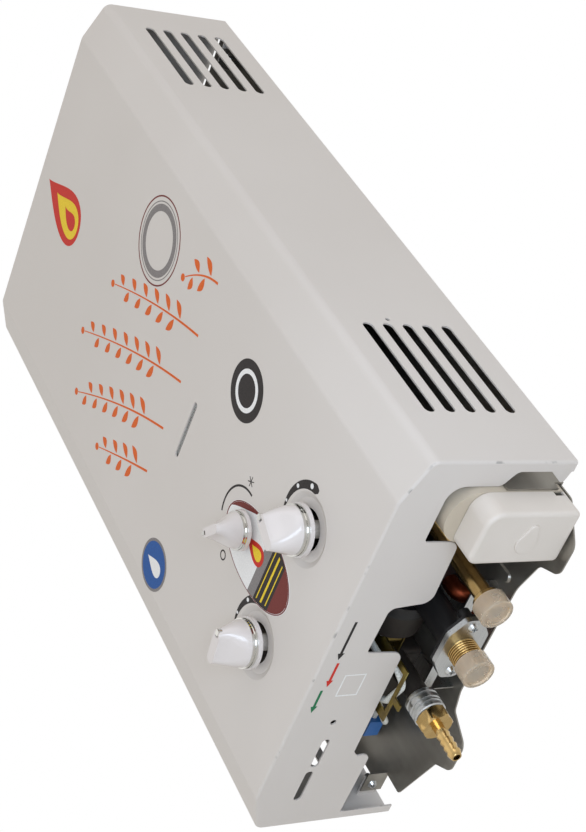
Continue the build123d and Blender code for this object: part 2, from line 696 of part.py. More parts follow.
# Flue hood: sloping front, open below and above
HOOD_EDGE = [
    (SHELL_Y0, HOOD_Z0), (SHELL_Y0, HOOD_Z0 + HOOD_LIP), (HOOD_NECK_Y, HOOD_TOP),
    (SHELL_Y1, HOOD_TOP), (SHELL_Y1, HOOD_Z0),
]
with BuildPart() as flue_hood:
    with BuildSketch(Plane.YZ.offset(-SHELL_X)):
        Polygon(*HOOD_EDGE, align=None)
    extrude(amount=2 * SHELL_X)
    with BuildSketch(Plane.YZ.offset(-SHELL_X + SHELL_T)):
        with BuildLine():
            Polyline((SHELL_Y0 + SHELL_T, HOOD_Z0 - SHELL_T), (SHELL_Y0 + SHELL_T, HOOD_Z0 + HOOD_LIP),
                     (HOOD_NECK_Y + SHELL_T, HOOD_TOP), (HOOD_NECK_Y + SHELL_T, HOOD_TOP + SHELL_T),
                     (SHELL_Y1 - SHELL_T, HOOD_TOP + SHELL_T), (SHELL_Y1 - SHELL_T, HOOD_Z0 - SHELL_T),
                     close=True)
        make_face()
    extrude(amount=2 * SHELL_X - 2 * SHELL_T, mode=Mode.SUBTRACT)

# Straps that hold the shell off the back plate
with BuildPart() as shell_straps:
    for strap_x in (-STRAP_X, STRAP_X):
        block(strap_x, strap_x + SHEET, SHELL_Y1, PLATE_FACE, STRAP_Z0, STRAP_Z1)

# Burner bars with gas ports on top and a mixing mouth at the front
with BuildPart() as burner_bars:
    with Locations((0, (BAR_Y0 + BAR_Y1) / 2, (BAR_Z0 + BAR_Z1) / 2)):
        with GridLocations(BAR_PITCH, 1, BAR_COUNT, 1):
            Box(BAR_W, BAR_Y1 - BAR_Y0, BAR_Z1 - BAR_Z0)
    port_pitch = (BAR_Y1 - BAR_Y0) / (BAR_PORTS + 1)
    for port in range(BAR_PORTS):
        port_y = BAR_Y0 + port_pitch * (port + 1)
        with Locations((0, port_y, BAR_Z1 - PORT_DEPTH / 2)):
            with GridLocations(BAR_PITCH, 1, BAR_COUNT, 1):
                Box(BAR_W / 2, PORT_W, PORT_DEPTH, mode=Mode.SUBTRACT)
    for index in range(BAR_COUNT):
        bar_x = (index - (BAR_COUNT - 1) / 2) * BAR_PITCH
        bar((bar_x, BAR_Y0, INJECTOR_Z), BACK, MOUTH_R, MOUTH_DEPTH, mode=Mode.SUBTRACT)

# Burner frame: two end plates and two rails under the bars
with BuildPart() as burner_frame:
    for end_x in (-SHELL_X, SHELL_X - SHEET):
        block(end_x, end_x + SHEET, FRAME_Y0, BAR_Y1 + RAIL_W, FRAME_Z0, SHELL_Z0)
    for rail_y in (BAR_Y0 - RAIL_W / 2, BAR_Y1 - RAIL_W / 2):
        block(-SHELL_X + SHEET / 2, SHELL_X - SHEET / 2, rail_y, rail_y + RAIL_W, RAIL_Z0, RAIL_Z1)

# Gas manifold across the front of the bars
with BuildPart() as gas_manifold:
    block(-SHELL_X + SHEET + FIT, SHELL_X - SHEET - FIT, MANIFOLD_Y0, MANIFOLD_Y1, MANIFOLD_Z0, MANIFOLD_Z1)
    bar((0, FEED_Y, MANIFOLD_Z0), UP, FEED_R - TUBE_WALL, (MANIFOLD_Z1 - MANIFOLD_Z0) / 2,
        mode=Mode.SUBTRACT)

# Injectors
with BuildPart() as injectors:
    for index in range(BAR_COUNT):
        bar_x = (index - (BAR_COUNT - 1) / 2) * BAR_PITCH
        bar((bar_x, MANIFOLD_Y1, INJECTOR_Z), BACK, INJECTOR_R, INJECTOR_L)
        bar((bar_x, MANIFOLD_Y1, INJECTOR_Z), BACK, ORIFICE_R, INJECTOR_L, mode=Mode.SUBTRACT)

# Electrode bracket on the manifold, insulators and wire tips
with BuildPart() as electrode_bracket:
    block(ELECTRODE_X[0] - ELECTRODE_MARGIN, ELECTRODE_X[1] + ELECTRODE_MARGIN, MANIFOLD_Y0 + ELECTRODE_EDGE,
          ELECTRODE_Y + ELECTRODE_EDGE, MANIFOLD_Z1, MANIFOLD_Z1 + SHEET)
    for tip_x in ELECTRODE_X:
        bar((tip_x, ELECTRODE_Y, MANIFOLD_Z1 - SHEET), UP, ELECTRODE_R + FIT, 3 * SHEET, mode=Mode.SUBTRACT)
with BuildPart() as electrode_insulators:
    for tip_x in ELECTRODE_X:
        bar((tip_x, ELECTRODE_Y, ELECTRODE_Z0), UP, ELECTRODE_R, ELECTRODE_Z1 - ELECTRODE_Z0)
with BuildPart() as electrode_tips:
    for tip_x in ELECTRODE_X:
        with BuildLine() as tip_path:
            rounded([(tip_x, ELECTRODE_Y, ELECTRODE_Z1, 0), (tip_x, ELECTRODE_Y, TIP_Z, TIP_BEND),
                     (tip_x, TIP_Y, TIP_Z, 0)], closed=False)
        with BuildSketch(Plane(origin=tip_path.line @ 0, z_dir=tip_path.line % 0)):
            Circle(TIP_R)
        sweep(path=tip_path.line)

# Gas valve body with spindle bore, plunger chamber and inlet neck
with BuildPart() as gas_valve_body:
    block(GAS_X0, GAS_X1, VALVE_Y0, VALVE_Y1, VALVE_Z0, VALVE_Z1)
    fillet(gas_valve_body.edges().filter_by(Axis.Y), VALVE_EDGE)
    bar((GAS_PIPE_X, GAS_PIPE_Y, NECK_END), UP, NECK_R, VALVE_Z0 - NECK_END + VALVE_EDGE)
    bar((GAS_PIPE_X, GAS_PIPE_Y, NECK_END), UP, BARB_HEAD_R - TUBE_WALL, VALVE_Z0 - NECK_END,
        mode=Mode.SUBTRACT)
    bar((-KNOB_X, VALVE_Y0, KNOB_Z), BACK, SPINDLE_R + FIT, SPINDLE_SEAT + END_PLAY, mode=Mode.SUBTRACT)
    bar((SEAT_X, ROD_Y, ROD_Z), LEFT, CHAMBER_R, SEAT_X - GAS_X0, mode=Mode.SUBTRACT)
    bar((GLAND_X, ROD_Y, ROD_Z), LEFT, SEAT_R, GLAND_X - SEAT_X, mode=Mode.SUBTRACT)
    bar((GAS_X1, ROD_Y, ROD_Z), LEFT, ROD_R + FIT, GAS_X1 - GLAND_X, mode=Mode.SUBTRACT)

# Solenoid that closes the gas chamber
with BuildPart() as gas_solenoid:
    bar((GAS_X0, ROD_Y, ROD_Z), LEFT, SOLENOID_R, GAS_X0 - SOLENOID_X)

# Water valve body with spindle bore, diaphragm chamber and inlet base
with BuildPart() as water_valve_body:
    block(WATER_X0, WATER_X1, VALVE_Y0, VALVE_Y1, VALVE_Z0, VALVE_Z1)
    fillet(water_valve_body.edges().filter_by(Axis.Y), VALVE_EDGE)
    bar((BODY_DISC_X, ROD_Y, ROD_Z), RIGHT, DIAPHRAGM_R, WATER_X0 - BODY_DISC_X + VALVE_EDGE)
    bar((COLD_X, COLD_Y, BASE_Z0), UP, COLD_NECK_R, VALVE_Z0 - BASE_Z0 + VALVE_EDGE)
    with BuildSketch(Plane.XY.offset(BASE_Z0)):
        with BuildLine():
            rounded([(COLD_X + x, COLD_Y + y, r) for x, y, r in FLANGE_EDGE])
        make_face()
    extrude(amount=BASE_Z1 - BASE_Z0)
    for side in (-1, 1):
        bar((COLD_X + side * FLANGE_SCREW_DX, COLD_Y, BASE_Z0), UP, BOSS_R, BOSS_TOP - BASE_Z0)
    bar((COLD_X, COLD_Y, BASE_Z0), UP, NIPPLE_BORE_R, VALVE_Z0 - BASE_Z0 + VALVE_EDGE, mode=Mode.SUBTRACT)
    for side in (-1, 1):
        bar((COLD_X + side * FLANGE_SCREW_DX, COLD_Y, BASE_Z0), UP, FLANGE_SCREW_R + FIT,
            FLANGE_SCREW_TOP - BASE_Z0 + FIT, mode=Mode.SUBTRACT)
    bar((KNOB_X, VALVE_Y0, KNOB_Z), BACK, SPINDLE_R + FIT, SPINDLE_SEAT + END_PLAY, mode=Mode.SUBTRACT)
    bar((BODY_DISC_X, ROD_Y, ROD_Z), RIGHT, HOUSING_R, CHAMBER_DEPTH, mode=Mode.SUBTRACT)
    bar((RISER_X, RISER_Y, VALVE_Z0), UP, TUBE_R - TUBE_WALL, RISER_DRILL, mode=Mode.SUBTRACT)
    with Locations(Plane(origin=(BODY_DISC_X, ROD_Y, ROD_Z), z_dir=RIGHT)):
        with PolarLocations(CLAMP_PCD / 2, CLAMP_COUNT, start_angle=0):
            Cylinder(CLAMP_R + FIT, CLAMP_END - BODY_DISC_X + FIT,
                     align=(Align.CENTER, Align.CENTER, Align.MIN), mode=Mode.SUBTRACT)

# Diaphragm, its cover and the clamp screws
with BuildPart() as diaphragm:
    bar((DIAPHRAGM_X, ROD_Y, ROD_Z), RIGHT, DIAPHRAGM_R, DIAPHRAGM_T)
    with Locations(Plane(origin=(DIAPHRAGM_X, ROD_Y, ROD_Z), z_dir=RIGHT)):
        with PolarLocations(CLAMP_PCD / 2, CLAMP_COUNT, start_angle=0):
            Cylinder(CLAMP_R + FIT, 2 * DIAPHRAGM_T, mode=Mode.SUBTRACT)
with BuildPart() as diaphragm_cover:
    bar((HOUSING_X0, ROD_Y, ROD_Z), RIGHT, DIAPHRAGM_R, DIAPHRAGM_X - HOUSING_X0)
    bar((HOUSING_FLOOR, ROD_Y, ROD_Z), RIGHT, HOUSING_R, DIAPHRAGM_X - HOUSING_FLOOR, mode=Mode.SUBTRACT)
    bar((HOUSING_X0, ROD_Y, ROD_Z), RIGHT, ROD_R + FIT, HOUSING_FLOOR - HOUSING_X0, mode=Mode.SUBTRACT)
    with Locations(Plane(origin=(HOUSING_X0, ROD_Y, ROD_Z), z_dir=RIGHT)):
        with PolarLocations(CLAMP_PCD / 2, CLAMP_COUNT, start_angle=0):
            Cylinder(CLAMP_R + FIT, DIAPHRAGM_X - HOUSING_X0,
                     align=(Align.CENTER, Align.CENTER, Align.MIN), mode=Mode.SUBTRACT)
with BuildPart() as clamp_screws:
    with Locations(Plane(origin=(HOUSING_X0 - CLAMP_HEAD_H, ROD_Y, ROD_Z), z_dir=RIGHT)):
        with PolarLocations(CLAMP_PCD / 2, CLAMP_COUNT, start_angle=0):
            Cylinder(CLAMP_HEAD_R, CLAMP_HEAD_H, align=(Align.CENTER, Align.CENTER, Align.MIN))
            Cylinder(CLAMP_R, CLAMP_END - HOUSING_X0 + CLAMP_HEAD_H,
                     align=(Align.CENTER, Align.CENTER, Align.MIN))

# Push rod with the diaphragm plate and a collar, gas plunger and return spring
with BuildPart() as push_rod:
    bar((PLUNGER_X + PLUNGER_T, ROD_Y, ROD_Z), RIGHT, ROD_R, DISC_PLATE_X0 - PLUNGER_X - PLUNGER_T)
    bar((DISC_PLATE_X0, ROD_Y, ROD_Z), RIGHT, DISC_PLATE_R, DISC_PLATE_X1 - DISC_PLATE_X0)
    bar((COLLAR_X0, ROD_Y, ROD_Z), RIGHT, COLLAR_R, COLLAR_T)
with BuildPart() as gas_plunger:
    bar((PLUNGER_X, ROD_Y, ROD_Z), RIGHT, PLUNGER_R, PLUNGER_T)
with BuildPart() as return_spring:
    with BuildLine() as spring_path:
        Helix((SPRING_X1 - SPRING_X0) / SPRING_TURNS, SPRING_X1 - SPRING_X0, SPRING_R,
              center=(SPRING_X0, ROD_Y, ROD_Z), direction=RIGHT)
    with BuildSketch(Plane(origin=spring_path.line @ 0, z_dir=spring_path.line % 0)):
        Circle(SPRING_WIRE)
    sweep(path=spring_path.line, is_frenet=True)

# Switch bracket with its pivot pin, switch lever and microswitch
with BuildPart() as switch_bracket:
    block(GAS_X1, GAS_X1 + BRACKET_T, LEVER_Y0 - SWITCH_MARGIN, LEVER_Y1 + SWITCH_MARGIN,
          VALVE_Z0 + VALVE_EDGE, SWITCH_PLATE_TOP)
    bar((GAS_X1 - BRACKET_T, ROD_Y, ROD_Z), RIGHT, SEAT_R, 4 * BRACKET_T, mode=Mode.SUBTRACT)
    for ear_y in (LEVER_Y0 - GAP - BRACKET_T, LEVER_Y1 + GAP):
        block(GAS_X1, EAR_REACH, ear_y, ear_y + BRACKET_T, VALVE_Z0, PIVOT_Z + HUB_R)
    apron_y = LEVER_Y0 - GAP - BRACKET_T
    window_x0, window_x1, window_z0, window_z1 = APRON_WINDOW
    block(APRON_X0, EAR_REACH, apron_y, apron_y + BRACKET_T, APRON_Z0, VALVE_Z0)
    block(window_x0, window_x1, apron_y, apron_y + BRACKET_T, window_z0, window_z1, mode=Mode.SUBTRACT)
    block(*TONGUE_X, apron_y, apron_y + BRACKET_T, TONGUE_Z, APRON_Z0)
    bar((LEVER_X, apron_y, PIVOT_Z), BACK, PIVOT_R, LEVER_Y1 - LEVER_Y0 + 2 * GAP + 2 * BRACKET_T)
with BuildPart() as switch_lever:
    block(LEVER_X - LEVER_T / 2, LEVER_X + LEVER_T / 2, LEVER_Y0, LEVER_Y1, PIVOT_Z, LEVER_TOP)
    bar((LEVER_X, LEVER_Y0, PIVOT_Z), BACK, HUB_R, LEVER_Y1 - LEVER_Y0)
    bar((LEVER_X, LEVER_Y0 - GAP, PIVOT_Z), BACK, PIVOT_R + FIT, LEVER_Y1 - LEVER_Y0 + 2 * GAP,
        mode=Mode.SUBTRACT)
    block(LEVER_X - LEVER_T, LEVER_X + LEVER_T, ROD_Y - FORK_W / 2, ROD_Y + FORK_W / 2,
          FORK_Z0, FORK_Z1, mode=Mode.SUBTRACT)
with BuildPart() as microswitch:
    block(SWITCH_X, HOUSING_X0, SWITCH_Y0, SWITCH_Y1, SWITCH_Z0, SWITCH_Z1)

# Gas inlet: ringed collar, union nut and hose tail
with BuildPart() as gas_collar:
    bar((GAS_PIPE_X, GAS_PIPE_Y, COLLAR_Z0), UP, GAS_COLLAR_R, COLLAR_Z1 - COLLAR_Z0)
    bar((GAS_PIPE_X, GAS_PIPE_Y, COLLAR_Z0), UP, NECK_R + FIT, COLLAR_Z1 - COLLAR_Z0, mode=Mode.SUBTRACT)
with BuildPart() as gas_nut:
    with BuildSketch(Plane.XY.offset(NUT_Z0)):
        with Locations((GAS_PIPE_X, GAS_PIPE_Y)):
            RegularPolygon(NUT_AF / math.sqrt(3), 6, rotation=NUT_TURN)
    extrude(amount=NUT_Z1 - NUT_Z0)
    bar((GAS_PIPE_X, GAS_PIPE_Y, NUT_Z0), UP, SHANK_R + FIT, NUT_Z1 - NUT_Z0, mode=Mode.SUBTRACT)
    bar((GAS_PIPE_X, GAS_PIPE_Y, NECK_END - BARB_HEAD_T - 2 * FIT), UP, NECK_R + FIT,
        NUT_Z1 - NECK_END + BARB_HEAD_T + 2 * FIT, mode=Mode.SUBTRACT)
with BuildPart() as hose_tail:
    bar((GAS_PIPE_X, GAS_PIPE_Y, BARB_END), UP, BARB_R, NECK_END - BARB_END - FIT)
    bar((GAS_PIPE_X, GAS_PIPE_Y, NUT_Z0 - SHANK_LEAD), UP, SHANK_R, NECK_END - NUT_Z0 + SHANK_LEAD - FIT)
    bar((GAS_PIPE_X, GAS_PIPE_Y, NECK_END - BARB_HEAD_T - FIT), UP, BARB_HEAD_R, BARB_HEAD_T)
    bar((GAS_PIPE_X, GAS_PIPE_Y, BARB_END), UP, BARB_BORE_R, NECK_END - BARB_END, mode=Mode.SUBTRACT)

# Cold inlet: flange, screws and threaded nipple
with BuildPart() as inlet_flange:
    with BuildSketch(Plane.XY.offset(FLANGE_Z0)):
        with BuildLine():
            rounded([(COLD_X + x, COLD_Y + y, r) for x, y, r in FLANGE_EDGE])
        make_face()
    extrude(amount=FLANGE_Z1 - FLANGE_Z0)
    bar((COLD_X, COLD_Y, FLANGE_Z0), UP, NIPPLE_SPIGOT_R + FIT, FLANGE_Z1 - FLANGE_Z0, mode=Mode.SUBTRACT)
    for side in (-1, 1):
        bar((COLD_X + side * FLANGE_SCREW_DX, COLD_Y, FLANGE_Z0), UP, FLANGE_SCREW_R + FIT,
            FLANGE_Z1 - FLANGE_Z0, mode=Mode.SUBTRACT)
with BuildPart() as flange_screws:
    for side in (-1, 1):
        screw_x = COLD_X + side * FLANGE_SCREW_DX
        bar((screw_x, COLD_Y, FLANGE_Z0 - FLANGE_HEAD_H), UP, FLANGE_HEAD_R, FLANGE_HEAD_H)
        bar((screw_x, COLD_Y, FLANGE_Z0), UP, FLANGE_SCREW_R, FLANGE_SCREW_TOP - FLANGE_Z0)
with BuildPart() as inlet_nipple:
    bar((COLD_X, COLD_Y, NIPPLE_END), UP, THREAD_R, FLANGE_Z0 - NIPPLE_END)
    bar((COLD_X, COLD_Y, FLANGE_Z0), UP, NIPPLE_SPIGOT_R, NIPPLE_TOP - FLANGE_Z0)
    bar((COLD_X, COLD_Y, NIPPLE_END), UP, NIPPLE_BORE_R, NIPPLE_TOP - NIPPLE_END, mode=Mode.SUBTRACT)

# Hot outlet pipe with shoulder and threaded end
with BuildPart() as outlet_pipe:
    bar((HOT_X, HOT_Y, HOT_THREAD_Z), UP, HOT_R, HOT_TOP - HOT_THREAD_Z)
    bar((HOT_X, HOT_Y, HOT_THREAD_Z), UP, SHOULDER_R, SHOULDER_Z - HOT_THREAD_Z)
    bar((HOT_X, HOT_Y, HOT_END), UP, THREAD_R, HOT_THREAD_Z - HOT_END)
    bar((HOT_X, HOT_Y, HOT_END), UP, HOT_BORE_R, HOT_TOP - HOT_END, mode=Mode.SUBTRACT)


def transport_cap(x, y, end, top):
    """Moulded cup that sits over a threaded end."""
    foot = end - CAP_LIFT - CAP_FLOOR - CAP_RECESS
    with BuildPart() as cap:
        bar((x, y, foot), UP, CAP_R, top - foot)
        fillet(cap.edges().filter_by(GeomType.CIRCLE).sort_by(Axis.Z)[0], CAP_ROUND)
        bar((x, y, end - CAP_LIFT), UP, THREAD_R + CAP_LIFT, top - end + CAP_LIFT, mode=Mode.SUBTRACT)
        bar((x, y, foot), UP, CAP_RECESS_R, CAP_RECESS, mode=Mode.SUBTRACT)
    return cap.part


inlet_cap = transport_cap(COLD_X, COLD_Y, NIPPLE_END, COLD_CAP_TOP)
outlet_cap = transport_cap(HOT_X, HOT_Y, HOT_END, HOT_CAP_TOP)

# Bracket behind the valves: strip, two posts and two legs to the back plate
with BuildPart() as valve_bracket:
    block(STRIP_X0, STRIP_X1, STRIP_Y0, VALVE_Y1 + BRACKET_T, STRIP_Z, STRIP_Z + BRACKET_T)
    for post_x in POST_X:
        block(post_x, post_x + POST_W, VALVE_Y1, VALVE_Y1 + BRACKET_T, STRIP_Z, POST_TOP)
    for leg_x in (STRIP_X0, STRIP_X1 - BRACKET_T):
        block(leg_x, leg_x + BRACKET_T, VALVE_Y1, PLATE_FACE, STRIP_Z, LEG_TOP)

# Season valve body and the two gas tubes
with BuildPart() as season_valve_body:
    bar((0, SEASON_Y0, SEASON_Z), BACK, SEASON_BODY_R, SEASON_Y1 - SEASON_Y0)
    bar((0, SEASON_Y0, SEASON_Z), BACK, SEASON_SPINDLE_R + FIT, SEASON_SEAT + END_PLAY, mode=Mode.SUBTRACT)
with BuildPart() as gas_tubes:
    bar((0, FEED_Y, SEASON_Z), UP, FEED_R, MANIFOLD_Z0 - SEASON_Z - FIT)
    bar((0, FEED_Y, SEASON_Z), UP, FEED_R - TUBE_WALL, MANIFOLD_Z0 - SEASON_Z, mode=Mode.SUBTRACT)
    with BuildLine() as gas_path:
        rounded([(GAS_TUBE_X, GAS_TUBE_Y, VALVE_Z1 + FIT, 0),
                 (GAS_TUBE_X, GAS_TUBE_Y, SEASON_Z, GAS_TUBE_BEND),
                 (0, GAS_TUBE_Y, SEASON_Z, 0)], closed=False)
    with BuildSketch(Plane(origin=gas_path.line @ 0, z_dir=gas_path.line % 0)):
        Circle(GAS_TUBE_R)
        Circle(GAS_TUBE_R - TUBE_WALL, mode=Mode.SUBTRACT)
    sweep(path=gas_path.line)
    bar((0, SEASON_Y0 - GAP, SEASON_Z), BACK, SEASON_BODY_R + FIT, SEASON_Y1 - SEASON_Y0 + 2 * GAP,
        mode=Mode.SUBTRACT)

# Igniter box, its plug and the lead sleeve to the microswitch
with BuildPart() as igniter_box:
    block(IGNITER_X0, IGNITER_X1, IGNITER_Y0, PLATE_FACE, IGNITER_Z0, IGNITER_Z1)
    fillet(igniter_box.edges().filter_by(Axis.Y), IGNITER_EDGE)
with BuildPart() as igniter_plug:
    block(PLUG_X0, PLUG_X1, PLUG_Y0, PLUG_Y1, PLUG_Z0, IGNITER_Z0)
with BuildPart() as lead_sleeve:
    with BuildLine() as sleeve_path:
        first = SLEEVE_ROUTE[0]
        last = SLEEVE_ROUTE[-1]
        rounded([(PLUG_X1 + FIT, first[1], first[2], 0), *SLEEVE_ROUTE,
                 (last[0], SWITCH_Y0 - FIT, last[2], 0)], closed=False)
    with BuildSketch(Plane(origin=sleeve_path.line @ 0, z_dir=sleeve_path.line % 0)):
        Circle(SLEEVE_R)
    sweep(path=sleeve_path.line)

# Battery box with a round nose, its mouth below, its bracket and contacts
BOX_CX = (BOX_X0 + BOX_X1) / 2
LID_CY = (LID_Y0 + BOX_Y1) / 2


def box_outline(inset):
    """Corners and radii of the battery box in plan, drawn in by an inset."""
    return [(BOX_X0 + inset, BOX_Y0 + inset, BOX_NOSE - inset),
            (BOX_X1 - inset, BOX_Y0 + inset, BOX_NOSE - inset),
            (BOX_X1 - inset, BOX_Y1 - inset, BOX_BACK - inset),
            (BOX_X0 + inset, BOX_Y1 - inset, BOX_BACK - inset)]


def lid_outline(inset):
    """Corners and radii of the battery lid in plan, shorter than the box, drawn in by an inset."""
    return [(BOX_X0 + inset, LID_Y0 + inset, LID_NEAR - inset),
            (BOX_X1 - inset, LID_Y0 + inset, LID_FAR - inset),
            (BOX_X1 - inset, BOX_Y1 - inset, BOX_BACK - inset),
            (BOX_X0 + inset, BOX_Y1 - inset, BOX_BACK - inset)]


with BuildPart() as battery_box:
    with BuildSketch(Plane.XY.offset(BOX_SEAM)):
        with BuildLine():
            rounded(box_outline(0))
        make_face()
    extrude(amount=BOX_TOP - BOX_SEAM)
    with BuildSketch(Plane.XY.offset(BOX_SEAM + BOX_WALL)):
        with BuildLine():
            rounded(box_outline(BOX_WALL))
        make_face()
    extrude(amount=BOX_TOP - BOX_SEAM - 2 * BOX_WALL, mode=Mode.SUBTRACT)
    with BuildSketch(Plane.XY.offset(BOX_SEAM)):
        with BuildLine():
            rounded(lid_outline(BOX_WALL))
        make_face()
    extrude(amount=2 * BOX_WALL, mode=Mode.SUBTRACT)
with BuildPart() as battery_bracket:
    block(BOX_X1 + GAP, BOX_X1 + GAP + SHEET, BOX_ARM_Y0, PLATE_FACE, BOX_ARM_Z0,
          BOX_TOP - BOX_ARM_DROP)
    block(BOX_X1 + GAP, BOX_X1 + GAP + SHEET, BOX_TONGUE_Y0, BOX_TONGUE_Y1, BOX_TONGUE_Z0, BOX_ARM_Z0)
    block(BOX_X0 + BOX_FOOT_INSET, BOX_X1 + GAP + SHEET, PLATE_FACE - SHEET, PLATE_FACE, BOX_ARM_Z0,
          BOX_TOP - BOX_ARM_DROP)
with BuildPart() as battery_contacts:
    for cell_y in (LID_CY - CELL_DY / 2, LID_CY + CELL_DY / 2):
        bar((BOX_CX, cell_y, BOX_TOP - BOX_WALL), DOWN, CONTACT_R, CONTACT_T)
        bar((BOX_CX, cell_y, BOX_TOP - BOX_WALL - CONTACT_T), DOWN, CONTACT_PIP_R, CONTACT_PIP_H)

# Battery lid with thumb grip, two lips and a notch, and its bridging contact
with BuildPart() as battery_lid:
    with BuildSketch(Plane.XY.offset(LID_Z)):
        with BuildLine():
            rounded(lid_outline(0))
        make_face()
    extrude(amount=BOX_SEAM - GAP - LID_Z)
    fillet(battery_lid.faces().sort_by(Axis.Z)[0].edges(), LID_ROUND)
    with BuildSketch(Plane.XY.offset(LID_Z + BOX_WALL)):
        with BuildLine():
            rounded(lid_outline(BOX_WALL))
        make_face()
    extrude(amount=BOX_SEAM - LID_Z, mode=Mode.SUBTRACT)
    block(BOX_X1 - BOX_WALL, BOX_X1, BOX_Y1 - LID_NOTCH_L, BOX_Y1 - BOX_BACK,
          BOX_SEAM - GAP - LID_NOTCH_H, BOX_SEAM, mode=Mode.SUBTRACT)
    for end, way in ((BOX_X0, 1), (BOX_X1, -1)):
        root = end + way * BOX_WALL / 2
        face = end + way * (BOX_WALL + GAP)
        inner = face + way * LID_LIP_T
        block(min(root, inner), max(root, inner), LID_CY - LID_LIP_W / 2, LID_CY + LID_LIP_W / 2,
              BOX_SEAM - GAP - LID_LIP, BOX_SEAM - GAP)
        block(min(face, inner), max(face, inner), LID_CY - LID_LIP_W / 2, LID_CY + LID_LIP_W / 2,
              BOX_SEAM - GAP, BOX_SEAM + LID_LIP)
    with BuildSketch(Plane.XY.offset(LID_Z)) as grip:
        with Locations((THUMB_X, THUMB_Y)):
            Circle(THUMB_R)
        with Locations((THUMB_TAIL_X, THUMB_TAIL_Y)):
            Circle(THUMB_TAIL_R)
        make_hull()
    extrude(amount=-THUMB_RISE)
    fillet(battery_lid.faces().sort_by(Axis.Z)[0].edges(), THUMB_ROUND)
with BuildPart() as lid_contact:
    block(BOX_CX - CONTACT_R, BOX_CX + CONTACT_R, LID_CY - CELL_DY / 2 - CONTACT_R,
          LID_CY + CELL_DY / 2 + CONTACT_R, LID_Z + BOX_WALL, LID_Z + BOX_WALL + CONTACT_T)


def knob_parts(x, z, turn, scale, rise, spindle_r):
    """Moulded knob, chrome ring and chrome pointer of one control; turn is where the pointer stands."""
    way = Vector(math.cos(math.radians(turn)), 0, math.sin(math.radians(turn)))
    back_y = -CASE_D - KNOB_STAND

    def level(height, shift=0.0):
        return Plane(origin=(x + way.X * shift, back_y - height, z + way.Z * shift), x_dir=way, z_dir=FRONT)

    ring_y = SKIRT_H * scale
    dome = ring_y + RING_H * scale
    notch_y = dome + rise * NOTCH_SHARE
    notch_x = NOTCH_REACH * scale
    with BuildPart() as body:
        with BuildSketch(level(0)):
            Circle(SKIRT_R * scale)
        extrude(amount=SKIRT_H * scale)
        with BuildSketch(level(ring_y)):
            Circle(CORE_R * scale)
        extrude(amount=RING_H * scale)
        for share, long_side, short_side, corner, shift in KNOB_SECTIONS:
            with BuildSketch(level(dome + rise * share, shift * scale)):
                RectangleRounded(long_side * scale, short_side * scale, corner * scale)
        loft()
        with BuildSketch(level(notch_y, notch_x)):
            Rectangle(2 * NOTCH_L * scale, NOTCH_W * scale + 2 * FIT)
        extrude(amount=rise, mode=Mode.SUBTRACT)
        with BuildSketch(level(0)):
            Circle(spindle_r + FIT)
        extrude(amount=SPINDLE_GRIP, mode=Mode.SUBTRACT)
    with BuildPart() as ring:
        with BuildSketch(level(ring_y)):
            Circle(RING_R * scale)
            Circle((CORE_R + FIT) * scale, mode=Mode.SUBTRACT)
        extrude(amount=RING_H * scale)
        with BuildSketch(level(ring_y + RING_GROOVE_START * scale)):
            Circle(SKIRT_R * scale)
            Circle((RING_R - RING_GROOVE) * scale, mode=Mode.SUBTRACT)
        extrude(amount=RING_GROOVE_W * scale, mode=Mode.SUBTRACT)
    with BuildPart() as pointer:
        with BuildSketch(level(notch_y + FIT, notch_x + (POINTER_OUT - NOTCH_L / 2) * scale)):
            RectangleRounded(NOTCH_L * scale - 2 * FIT, NOTCH_W * scale, POINTER_CORNER * scale)
        extrude(amount=dome + rise - notch_y + POINTER_PROUD * scale)
    return body.part, ring.part, pointer.part


gas_knob, gas_knob_ring, gas_knob_pointer = knob_parts(
    -KNOB_X, KNOB_Z, GAS_TURN, 1.0, FIN_RISE, SPINDLE_R)
water_knob, water_knob_ring, water_knob_pointer = knob_parts(
    KNOB_X, KNOB_Z, WATER_TURN, 1.0, FIN_RISE, SPINDLE_R)
season_knob, season_knob_ring, season_knob_pointer = knob_parts(
    0, SEASON_Z, SEASON_TURN, SEASON_SCALE, SEASON_RISE, SEASON_SPINDLE_R)

# Spindles
SPINDLE_START = -CASE_D - KNOB_STAND - SPINDLE_GRIP + FIT
with BuildPart() as gas_spindle:
    bar((-KNOB_X, SPINDLE_START, KNOB_Z), BACK, SPINDLE_R, VALVE_Y0 + SPINDLE_SEAT - SPINDLE_START)
with BuildPart() as water_spindle:
    bar((KNOB_X, SPINDLE_START, KNOB_Z), BACK, SPINDLE_R, VALVE_Y0 + SPINDLE_SEAT - SPINDLE_START)
with BuildPart() as season_spindle:
    bar((0, SPINDLE_START, SEASON_Z), BACK, SEASON_SPINDLE_R, SEASON_Y0 + SEASON_SEAT - SPINDLE_START)

